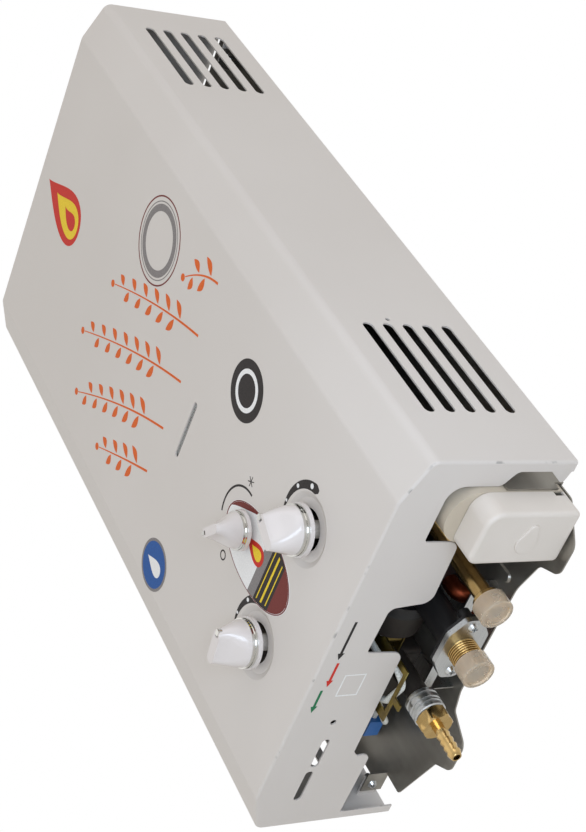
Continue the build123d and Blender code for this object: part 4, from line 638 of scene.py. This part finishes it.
collar_outline = [(NECK_R, COLLAR.low), (COLLAR.r - COLLAR.edge, COLLAR.low),
                  (COLLAR.r, COLLAR.low + COLLAR.edge)]
for rise in GROOVE_RISES:
    collar_outline += [(COLLAR.r - share * COLLAR.depth, COLLAR.low + rise + step) for step, share in GROOVE]
collar_outline += [(COLLAR.r, COLLAR.high - COLLAR.edge), (COLLAR.r - COLLAR.edge, COLLAR.high),
                   (NECK_R, COLLAR.high)]
collar = turned("ringed_collar", collar_outline, GAS, LATHE_SIDES)
stand_in("ringed_collar", collar, "bright_zinc", "gas_collar")


def hexagon(limit):
    """A rule of the angle: the hexagon's reach, but never past a limit."""
    def reach(angle):
        sixth = math.pi / 3
        off = (angle - NUT.turn) % sixth - sixth / 2
        return min(NUT.half / math.cos(off), limit)
    return reach


# The nut's end faces are round, a hair wider than its flats
face, flank = hexagon(NUT.half + NUT.proud), hexagon(2 * NUT.half)
nut_outline = [(NUT.bore, NUT.low), (face, NUT.low), (flank, NUT.low + NUT.chamfer),
               (flank, NUT.high - NUT.chamfer), (face, NUT.high), (NECK_R, NUT.high),
               (NECK_R, NUT.seat), (NUT.bore, NUT.seat)]
stand_in("union_nut", turned("union_nut", nut_outline, GAS, NUT.sides), "brass", "gas_nut")

tail_outline = [(TAIL.bore, TAIL.tip), (TAIL.nose, TAIL.tip)]
for barb in range(TAIL.count):
    low = TAIL.tip + barb * TAIL.pitch
    tail_outline += [(TAIL.root, low + TAIL.lead), (TAIL.barb, low + CREST[0] * TAIL.pitch),
                     (TAIL.barb, low + CREST[1] * TAIL.pitch), (TAIL.root, low + TAIL.pitch)]
tail_outline += [(TAIL.r, TAIL.shank_low), (TAIL.shank, TAIL.shank_low), (TAIL.shank, TAIL.head_low),
                 (TAIL.head, TAIL.head_low), (TAIL.head, TAIL.top), (TAIL.bore, TAIL.top)]
stand_in("barbed_tail", turned("barbed_tail", tail_outline, GAS, TAIL.sides), "brass", "hose_tail")
print("tail outline points:", len(tail_outline))

# %% [markdown]
# Screws repeat, so one Geometry Nodes tree makes them all: a low cone for the pan head, a
# cross recess cut from it by two bars, a shank, and a copy on every point of a small mesh
# of places. The bars that cut the recess are made longer than the head is deep.

# %% Screw tree
HEAD_SIDES = 28
SHANK_SIDES = 14


def screw_tree():
    """A pan-head screw with a cross recess on every point that comes in."""
    lengths = ("Head radius", "Crown radius", "Head height", "Shank radius", "Shank length")
    tree, given = new_tree("cross_recess_screw", lengths, ("Recess", "Axis"))
    head = add(tree, "GeometryNodeMeshCone", {"Vertices": HEAD_SIDES, "Radius Top": given["Crown radius"],
                                              "Radius Bottom": given["Head radius"],
                                              "Depth": given["Head height"]})
    crown = add(tree, "ShaderNodeCombineXYZ", {"Z": given["Head height"]})
    bar = add(tree, "GeometryNodeMeshCube", {"Size": given["Recess"]})
    first = add(tree, "GeometryNodeTransform", {"Geometry": bar, "Translation": crown})
    second = add(tree, "GeometryNodeTransform", {"Geometry": bar, "Translation": crown,
                                                 "Rotation": (0.0, 0.0, math.pi / 2)})
    cross = add(tree, "GeometryNodeMeshBoolean", {1: first}, operation="UNION")
    plug(tree, cross, {1: second})
    cut = add(tree, "GeometryNodeMeshBoolean", {0: head, 1: cross}, operation="DIFFERENCE")
    half = add(tree, "ShaderNodeMath", {0: given["Shank length"], 1: -0.5}, operation="MULTIPLY")
    down = add(tree, "ShaderNodeCombineXYZ", {"Z": half})
    rod = add(tree, "GeometryNodeMeshCylinder", {"Vertices": SHANK_SIDES, "Radius": given["Shank radius"],
                                                 "Depth": given["Shank length"]})
    shank = add(tree, "GeometryNodeTransform", {"Geometry": rod, "Translation": down})
    screw = add(tree, "GeometryNodeJoinGeometry", {0: cut})
    plug(tree, screw, {0: shank})
    lean = add(tree, "FunctionNodeAlignRotationToVector", {"Vector": given["Axis"]}, axis="Z")
    copies = add(tree, "GeometryNodeInstanceOnPoints", {"Points": given["Geometry"], "Instance": screw,
                                                        "Rotation": lean})
    return end_tree(tree, copies, given["Finish"])


screw = screw_tree()
print("screw tree nodes:", len(screw.nodes))

# %% [markdown]
# Three groups of screws use the tree: two through the inlet flange, six round the
# diaphragm housing and three that hold the cover to the back plate. The places are the
# seats of their heads, and the axis points out of the head.

# %% Screws
CROWN_SHARE = 0.68
# The recess: length and width by the head's radius, depth by its height
RECESS = (1.1, 0.26, 1.3)
FLANGE_SCREW_DX = 19.5
CLAMP_COUNT = 6
CLAMP_CIRCLE_R = 23.0
CLAMP_CENTRE = (-4.0, -50.0, 46.0)
COVER_SEATS = [(-153.0, -10.5, 17.0), (-153.0, -10.5, 546.0), (153.0, -10.5, 546.0)]
DOWN = (0, 0, -1)
LEFT = (-1, 0, 0)


def screws(name, node, seats, axis, head_r, head_h, shank_r, shank_l):
    """Cross-recess screws with their heads on these seats, in mm."""
    places = bpy.data.meshes.new(name + "_places")
    places.from_pydata([[c * MM for c in seat] for seat in seats], [], [])
    sizes = {"Head radius": head_r * MM, "Crown radius": CROWN_SHARE * head_r * MM, "Head height": head_h * MM,
             "Shank radius": shank_r * MM, "Shank length": shank_l * MM, "Axis": axis,
             "Recess": (RECESS[0] * head_r * MM, RECESS[1] * head_r * MM, RECESS[2] * head_h * MM),
             "Finish": finishes["bright_zinc"]}
    stand_in(name, grown(name, places, screw, sizes), "bright_zinc", node)


flange_seats = [(COLD[0] + side * FLANGE_SCREW_DX, COLD[1], NIPPLE.shoulder) for side in (-1, 1)]
clamp_turns = [2 * math.pi * k / CLAMP_COUNT for k in range(CLAMP_COUNT)]
clamp_seats = [(CLAMP_CENTRE[0], CLAMP_CENTRE[1] + CLAMP_CIRCLE_R * math.cos(angle),
                CLAMP_CENTRE[2] + CLAMP_CIRCLE_R * math.sin(angle)) for angle in clamp_turns]
screws("flange_pan_screws", "flange_screws", flange_seats, DOWN, 4.0, 2.4, 2.0, 12.0)
screws("clamp_pan_screws", "clamp_screws", clamp_seats, LEFT, 3.0, 2.0, 1.6, 21.0)
screws("cover_pan_screws", "cover_screws", COVER_SEATS, DOWN, 3.6, 2.2, 1.9, 9.0)
print("screws:", len(flange_seats) + len(clamp_seats) + len(COVER_SEATS))

# %% [markdown]
# Behind the long sight slot in the front sits a piece of woven wire. Wire cloth is two
# sets of straight wires that cross, so the tree draws one wire of each set and repeats it.

# %% Wire cloth in the sight slot
CLOTH = Sizes(x=(-33.0, 29.0), y=-122.4, z=(230.5, 247.5), wire=0.26, pitch=1.55)
WIRE_SIDES = 8


def wire_cloth_tree():
    """Two crossing sets of straight wires, laid from a corner."""
    tree, given = new_tree("wire_cloth", ("Width", "Height", "Pitch", "Wire"), ("Corner",))
    both = add(tree, "GeometryNodeJoinGeometry", {0: given["Geometry"]})
    half_w = add(tree, "ShaderNodeMath", {0: given["Width"], 1: 0.5}, operation="MULTIPLY")
    half_h = add(tree, "ShaderNodeMath", {0: given["Height"], 1: 0.5}, operation="MULTIPLY")
    sets = [
        (given["Width"], add(tree, "ShaderNodeCombineXYZ", {"X": given["Pitch"]}),
         add(tree, "ShaderNodeCombineXYZ", {"Y": given["Wire"], "Z": half_h}), given["Height"],
         (0.0, 0.0, 0.0)),
        (given["Height"], add(tree, "ShaderNodeCombineXYZ", {"Z": given["Pitch"]}),
         add(tree, "ShaderNodeCombineXYZ", {"X": half_w}), given["Width"], (0.0, math.pi / 2, 0.0)),
    ]
    for reach, step, middle, length, lean in sets:
        count = add(tree, "ShaderNodeMath", {0: reach, 1: given["Pitch"]}, operation="DIVIDE")
        start = add(tree, "ShaderNodeVectorMath", {0: given["Corner"], 1: middle}, operation="ADD")
        line = add(tree, "GeometryNodeMeshLine", {"Count": count, "Start Location": start, "Offset": step},
                   mode="OFFSET")
        wire = add(tree, "GeometryNodeMeshCylinder", {"Vertices": WIRE_SIDES, "Radius": given["Wire"],
                                                      "Depth": length})
        laid = add(tree, "GeometryNodeTransform", {"Geometry": wire, "Rotation": lean})
        copies = add(tree, "GeometryNodeInstanceOnPoints", {"Points": line, "Instance": laid})
        plug(tree, both, {0: copies})
    return end_tree(tree, both, given["Finish"])


cloth = grown("sight_wire_cloth", bpy.data.meshes.new("empty_cloth"), wire_cloth_tree(), {
    "Corner": Vector((CLOTH.x[0], CLOTH.y, CLOTH.z[0])) * MM, "Width": (CLOTH.x[1] - CLOTH.x[0]) * MM,
    "Height": (CLOTH.z[1] - CLOTH.z[0]) * MM, "Pitch": CLOTH.pitch * MM, "Wire": CLOTH.wire * MM,
    "Finish": finishes["bright_zinc"]})
stand_in("sight_wire_cloth", cloth, "bright_zinc", "sight_mesh")
print("wire cloth faces:", len(cloth.polygons))

# %% [markdown]
# The front is screen printed and carries a few foil stickers. Ink on powder coat stands up
# by a tenth of a millimetre and is a little duller than the coat, with pin holes where the
# mesh of the screen was. All designs here are plain ones: rings, bands, leaves, arrows.

# %% Screen inks
PIN_HOLE_MM = 1.1
INK_TONES = {
    # Thin and full ink
    "orange": ("#D25E22", "#E06A2C"), "red": ("#BE2E26", "#D23A2E"), "yellow": ("#E3C02C", "#F2D43C"),
    "grey": ("#7A7573", "#8D8886"), "dark": ("#2B2726", "#3A3533"), "blue": ("#264F8C", "#2F5FA5"),
    "white": ("#E4E3E1", "#F0EFED"), "brown": ("#6C302C", "#7B3B36"), "green": ("#286C49", "#2F7F55"),
}


def screen_ink(name, tones):
    """Ink laid through a screen: small pin holes and an uneven gloss."""
    return only_clouds("screen_ink_" + name, PIN_HOLE_MM, 2.0, tones, (0.38, 0.55),
                       {"Specular IOR Level": 0.12}, tone_span=(0.3, 0.7))


inks = {name: screen_ink(name, tones) for name, tones in INK_TONES.items()}
print("inks:", len(inks))

# %% [markdown]
# A print is a thin closed slab with the outline of its design. Two builders are enough: a
# face with one outline, and a strip between two edges, for rings, arcs and stems. A place
# function puts the flat design on the front or on the bottom flange.

# %% Helpers for prints
INK_T = 0.10
FRONT_Y = -124.0


def on_front(u, v, lift):
    """A design point on the front: across and up, in mm."""
    return Vector((u, FRONT_Y - lift, v)) * MM


def on_flange(u, v, lift):
    """A design point on the bottom flange: across and back, in mm."""
    return Vector((u, v, -lift)) * MM


def ink_face(made, outline, place=on_front, low=0.0, high=INK_T):
    """A slab with a single outline."""
    under = [made.verts.new(place(u, v, low)) for u, v in outline]
    over = [made.verts.new(place(u, v, high)) for u, v in outline]
    made.faces.new(over)
    made.faces.new(under[::-1])
    for i in range(len(outline)):
        j = (i + 1) % len(outline)
        made.faces.new((under[i], under[j], over[j], over[i]))


def ink_strip(made, left, right, place=on_front, closed=False, low=0.0, high=INK_T):
    """A slab between two edges with the same number of points; closed for a ring."""
    rows = []
    for (u0, v0), (u1, v1) in zip(left, right):
        rows.append([made.verts.new(place(u0, v0, low)), made.verts.new(place(u1, v1, low)),
                     made.verts.new(place(u1, v1, high)), made.verts.new(place(u0, v0, high))])
    pairs = list(zip(rows, rows[1:]))
    if closed:
        pairs.append((rows[-1], rows[0]))
    else:
        made.faces.new(rows[0])
        made.faces.new(rows[-1][::-1])
    for row, following in pairs:
        for i in range(4):
            j = (i + 1) % 4
            made.faces.new((row[i], following[i], following[j], row[j]))


def print_piece(name, ink, made):
    """A print of one ink."""
    settle(name, to_mesh(name, made), inks[ink])


def face_print(name, ink, outline, **slab):
    """A print that is a single face."""
    made = bmesh.new()
    ink_face(made, outline, **slab)
    print_piece(name, ink, made)


def strip_print(name, ink, left, right, **slab):
    """A print that is a single closed strip."""
    made = bmesh.new()
    ink_strip(made, left, right, closed=True, **slab)
    print_piece(name, ink, made)


def edges(spine):
    """Left and right edge of a line of middle points, each with half its width."""
    return [tuple(middle - half) for middle, half in spine], [tuple(middle + half) for middle, half in spine]


def circle(u, v, radius, steps=64):
    """Points round a circle."""
    turns = [2 * math.pi * k / steps for k in range(steps)]
    return [(u + radius * math.cos(angle), v + radius * math.sin(angle)) for angle in turns]


def arc(u, v, radius, start, end, steps=32):
    """Points along an arc, from one angle to another, in degrees; radius may be a rule of the share."""
    points = []
    for k in range(steps + 1):
        share = k / steps
        angle = math.radians(start + (end - start) * share)
        reach = radius(share) if callable(radius) else radius
        points.append((u + reach * math.cos(angle), v + reach * math.sin(angle)))
    return points


def drop(u, v, width, height, lean=0.0, sharp=1.4, steps=48):
    """A drop or flame: round below, pointed above, its tip leaning sideways."""
    points = []
    for k in range(steps):
        t = 2 * math.pi * k / steps
        rise = math.cos(t)
        points.append((u + width / 2 * math.sin(t) * math.sin(t / 2) ** sharp + lean * max(rise, 0) ** 2,
                       v + height / 2 * rise))
    return points


print("print helpers ready")

# %% [markdown]
# The big design on the front is a spray of leafy stems in orange line work. Every stem is
# a bent line that thins towards its tip, leaves stand along it by turns to the left and to
# the right, and a berry closes each end. A loop along the stem sets them all.

# %% Leafy print
STEMS = [
    # Root, bend, tip, leaves
    ((108, 268), (104, 290), (84, 312), 4), ((62, 268), (46, 332), (12, 406), 11),
    ((20, 268), (-4, 342), (-50, 428), 13), ((-24, 268), (-50, 334), (-96, 406), 12),
    ((-66, 268), (-82, 302), (-106, 346), 7),
]
STEM = Sizes(width=2.0, taper=0.6, steps=40, first_leaf=0.22, leaf_run=0.74)
LEAF = Sizes(length=16.0, width=6.2, angle=math.radians(48), stalk=2.2, curve=1.4, fullness=0.9, steps=10,
             at_root=1.1, shrink=0.5)
BERRY = Sizes(r=3.0, gap=0.8, steps=28)


def stem_point(root, bend, tip, share):
    """A point on a bent line and the way it runs there."""
    a, b, c = Vector(root), Vector(bend), Vector(tip)
    point = a * (1 - share) ** 2 + b * 2 * share * (1 - share) + c * share ** 2
    way = ((b - a) * (1 - share) + (c - b) * share).normalized()
    return point, way


def leaf(made, point, way, side, length):
    """A pointed leaf beside the stem."""
    out = Matrix.Rotation(LEAF.angle * side, 2) @ way
    across = Vector((-out.y, out.x))
    base = point + out * LEAF.stalk
    spine = []
    for k in range(LEAF.steps + 1):
        share = k / LEAF.steps
        belly = math.sin(math.pi * share)
        middle = base + out * length * share + across * side * LEAF.curve * belly
        spine.append((middle, across * LEAF.width / 2 * belly ** LEAF.fullness))
    left, right = edges(spine)
    ink_face(made, left + right[-2:0:-1])


leaves = bmesh.new()
for root, bend, tip, count in STEMS:
    spine = []
    for k in range(STEM.steps + 1):
        point, way = stem_point(root, bend, tip, k / STEM.steps)
        spine.append((point, Vector((-way.y, way.x)) * STEM.width * (1 - STEM.taper * k / STEM.steps) / 2))
    ink_strip(leaves, *edges(spine))
    for k in range(count):
        share = STEM.first_leaf + STEM.leaf_run * k / count
        point, way = stem_point(root, bend, tip, share)
        leaf(leaves, point, way, 1 if k % 2 else -1, LEAF.length * (LEAF.at_root - LEAF.shrink * share))
    end, way = stem_point(root, bend, tip, 1.0)
    ink_face(leaves, circle(*(end + way * (BERRY.r + BERRY.gap)), BERRY.r, BERRY.steps))
print_piece("leafy_print", "orange", leaves)
print("stems:", len(STEMS))

# %% [markdown]
# Round marks: a flame sign at the top, a ringed seal, a dark disc and a blue disc with a
# drop. Where one colour lies on another it is a thicker slab, as a second pass of ink is.

# %% Round marks
FLAME = (4.0, 530.0)
SEAL = (81.0, 364.0)
DISC = (74.5, 187.0)
WATER = (-113.0, 214.0)
FLAME_LEAN = 4.0
SEAL_STEPS = 96
DISC_STEPS = 72
# Ink, width, height, passes of ink, and how far below the flame's middle it sits
FLAMES = {"flame_outer": ("red", 62, 80, 1, 0), "flame_middle": ("yellow", 42, 54, 2, 9),
          "flame_heart": ("red", 20, 26, 3, 17)}
# Ink, inner and outer radius
SEAL_RINGS = {"seal_outer": ("brown", 33.4, 34.6), "seal_ring": ("grey", 22.5, 28.0),
              "seal_line": ("grey", 29.6, 30.4)}
# Ink, centre, radius, passes of ink
DISCS = {"dark_disc": ("dark", DISC, 22.5, 1), "water_rim": ("grey", WATER, 20.5, 1),
         "water_disc": ("blue", WATER, 18.2, 2)}
DISC_RING = (12.0, 15.5)
WATER_DROP = (18, 24)

for name, (ink, width, height, passes, drop_by) in FLAMES.items():
    outline = drop(FLAME[0], FLAME[1] - drop_by, width, height, lean=FLAME_LEAN)
    face_print(name, ink, outline, high=passes * INK_T)
for name, (ink, *radii) in SEAL_RINGS.items():
    strip_print(name, ink, *(circle(*SEAL, radius, SEAL_STEPS) for radius in radii))
for name, (ink, centre, radius, passes) in DISCS.items():
    face_print(name, ink, circle(*centre, radius, DISC_STEPS), high=passes * INK_T)
strip_print("dark_disc_ring", "white", *(circle(*DISC, radius) for radius in DISC_RING), high=2 * INK_T)
face_print("water_drop", "white", drop(*WATER, *WATER_DROP, sharp=1.6), high=3 * INK_T)
print("round marks at", FLAME, SEAL, DISC, WATER)

# %% [markdown]
# Each big knob has a dark scale that grows from a hair to a wide band as the setting
# rises, with white dots on it; the small knob has a thin arc between a ring and a star.

# %% Knob scales
KNOBS = [(-51.5, 69.0), (51.5, 69.0)]
SCALE = Sizes(r=30.2, drift=0.8, start=104.0, end=6.0, steps=48, thin=0.5, grow=3.2, power=0.6)
# The scale's far end is rounded off: its width there, and how fast it is full
SCALE_TIP = (0.35, 9.0)
DOT_ANGLES = (91.0, 57.0, 23.0)
DOT = Sizes(r=1.1, grow=0.4, drift=0.3, steps=24)
SEASON_ARC = Sizes(centre=(-2.4, 137.3), r=25.6, half=0.8, start=112, end=-4)
SEASON_RING = Sizes(centre=(-35.3, 139.7), inner=2.8, outer=3.9, steps=32)
SEASON_STAR = Sizes(centre=(30.0, 142.6), arm=4, half=0.35, arms=3, step=0.1)


def scale_edge(side):
    """Reach of one edge of the scale: thin at its start, wide at its end, and rounded off there."""
    def reach(share):
        half = SCALE.thin + SCALE.grow * share ** SCALE.power
        half *= min(1.0, SCALE_TIP[0] + SCALE_TIP[1] * (1.0 - share))
        return SCALE.r - SCALE.drift * share + side * half
    return reach


scales = bmesh.new()
dots = bmesh.new()
for knob in KNOBS:
    ink_strip(scales, *(arc(*knob, scale_edge(side), SCALE.start, SCALE.end, SCALE.steps) for side in (-1, 1)))
    for k, angle in enumerate(DOT_ANGLES):
        centre = arc(*knob, SCALE.r - DOT.drift * k, angle, angle, 1)[0]
        ink_face(dots, circle(*centre, DOT.r + DOT.grow * k, DOT.steps), high=2 * INK_T)
ink_strip(scales, *(arc(*SEASON_ARC.centre, SEASON_ARC.r + side * SEASON_ARC.half, SEASON_ARC.start,
                        SEASON_ARC.end) for side in (-1, 1)))
ink_strip(scales, circle(*SEASON_RING.centre, SEASON_RING.inner, SEASON_RING.steps),
          circle(*SEASON_RING.centre, SEASON_RING.outer, SEASON_RING.steps), closed=True)
for k in range(SEASON_STAR.arms):
    angle = math.pi * k / SEASON_STAR.arms
    way = Vector((math.cos(angle), math.sin(angle))) * SEASON_STAR.arm
    half = Vector((-math.sin(angle), math.cos(angle))) * SEASON_STAR.half
    middle = Vector(SEASON_STAR.centre)
    ink_strip(scales, *edges([(middle - way, half), (middle + way, half)]),
              high=INK_T * (1 + SEASON_STAR.step * k))
print_piece("knob_scales", "dark", scales)
print_piece("knob_scale_dots", "white", dots)
print("scales:", len(KNOBS))

# %% [markdown]
# An oval foil sticker lies between the knobs: white, with a brown edge line, a brown sweep
# at its upper right, a small flame and three plain bands at its foot, the dark one ruled with
# yellow lines. Slices of the oval make the bands and the lines.

# %% Oval sticker
OVAL = Sizes(u=-4.5, v=104.0, half_w=27.0, half_h=51.0, steps=90, inside=0.965, ruled=0.88)
# The foil's thickness, and the heights after each pass of ink on it
FOIL_T = 0.22
LAYERS = [FOIL_T + k * INK_T for k in range(4)]
EDGE_SHARES = (0.972, 0.992)
SWEEP = Sizes(start=12, turn=66, depth=0.12, edge=0.968, steps=24)
BANDS = [("grey", 90.0, 99.0), ("dark", 71.0, 90.0), ("brown", 54.5, 71.0)]
RULES = [(79.5, 81.5), (74.0, 75.0), (86.0, 87.0)]
# The small flame: centre, width, height and lean of its heart and of its body
HEART_OF_SPARK = (-2.5, 106.0, 12, 15, 1.0)
SPARK = (-2.5, 108.5, 21, 27, 1.5)


def oval(share, angle):
    """A point of the oval, shrunk by a share, at an angle in degrees."""
    a = math.radians(angle)
    return (OVAL.u + share * OVAL.half_w * math.cos(a), OVAL.v + share * OVAL.half_h * math.sin(a))


def oval_ring(share):
    """Points all round the oval, shrunk by a share."""
    return [oval(share, 360 * k / OVAL.steps) for k in range(OVAL.steps)]


def oval_slice(low, high, share=OVAL.inside, steps=14):
    """The part of the oval between two heights, a little inside its edge."""
    right, left = [], []
    for k in range(steps + 1):
        v = low + (high - low) * k / steps
        reach = max(0.0, 1.0 - ((v - OVAL.v) / (share * OVAL.half_h)) ** 2) ** 0.5
        right.append((OVAL.u + share * OVAL.half_w * reach, v))
        left.append((OVAL.u - share * OVAL.half_w * reach, v))
    return right + left[::-1]


face_print("oval_foil", "white", oval_ring(1.0), high=LAYERS[0])
edge_line = bmesh.new()
ink_strip(edge_line, *(oval_ring(share) for share in EDGE_SHARES), closed=True, low=LAYERS[0], high=LAYERS[1])
sweep = [(k / SWEEP.steps, SWEEP.start + SWEEP.turn * k / SWEEP.steps) for k in range(SWEEP.steps + 1)]
hollow = [oval(OVAL.inside - SWEEP.depth * math.sin(math.pi * share), angle) for share, angle in sweep]
ink_strip(edge_line, hollow, [oval(SWEEP.edge, angle) for _, angle in sweep], low=LAYERS[0], high=LAYERS[1])
print_piece("oval_edge", "brown", edge_line)
for ink, low, high in BANDS:
    face_print("oval_band_" + ink, ink, oval_slice(low, high), low=LAYERS[0], high=LAYERS[1])
lines = bmesh.new()
for low, high in RULES:
    ink_face(lines, oval_slice(low, high, OVAL.ruled), low=LAYERS[1], high=LAYERS[2])
ink_face(lines, drop(*HEART_OF_SPARK), low=LAYERS[1], high=LAYERS[3])
print_piece("oval_lines", "yellow", lines)
face_print("oval_spark", "red", drop(*SPARK), low=LAYERS[0], high=LAYERS[2])
print("bands:", len(BANDS))

# %% [markdown]
# On the bottom flange plain arrows mark the three connections: green for gas, red for hot
# water and dark for cold. A thin white frame lies beside them.

# %% Marks on the flange
# Ink, tip, tail and middle line
ARROWS = [("green", -49.0, -28.0, -113.0), ("red", -25.0, -3.0, -110.5), ("dark", 0.0, 34.0, -112.0)]
ARROW = Sizes(half=1.0, head_half=2.6, head=6.0)
PLATE = (-35.0, -15.0, -100.0, -83.0)
FRAME_W = 0.9


def plate_corners(inset):
    """The frame's corners, moved inwards."""
    left, right, front, back = PLATE[0] + inset, PLATE[1] - inset, PLATE[2] + inset, PLATE[3] - inset
    return [(left, front), (right, front), (right, back), (left, back)]


for ink, tip, tail, middle in ARROWS:
    neck = tip + ARROW.head
    outline = [(tip, middle), (neck, middle - ARROW.head_half), (neck, middle - ARROW.half),
               (tail, middle - ARROW.half), (tail, middle + ARROW.half), (neck, middle + ARROW.half),
               (neck, middle + ARROW.head_half)]
    face_print("flange_arrow_" + ink, ink, outline, place=on_flange)
strip_print("flange_frame", "white", plate_corners(0.0), plate_corners(FRAME_W), place=on_flange)
print("arrows:", len(ARROWS))
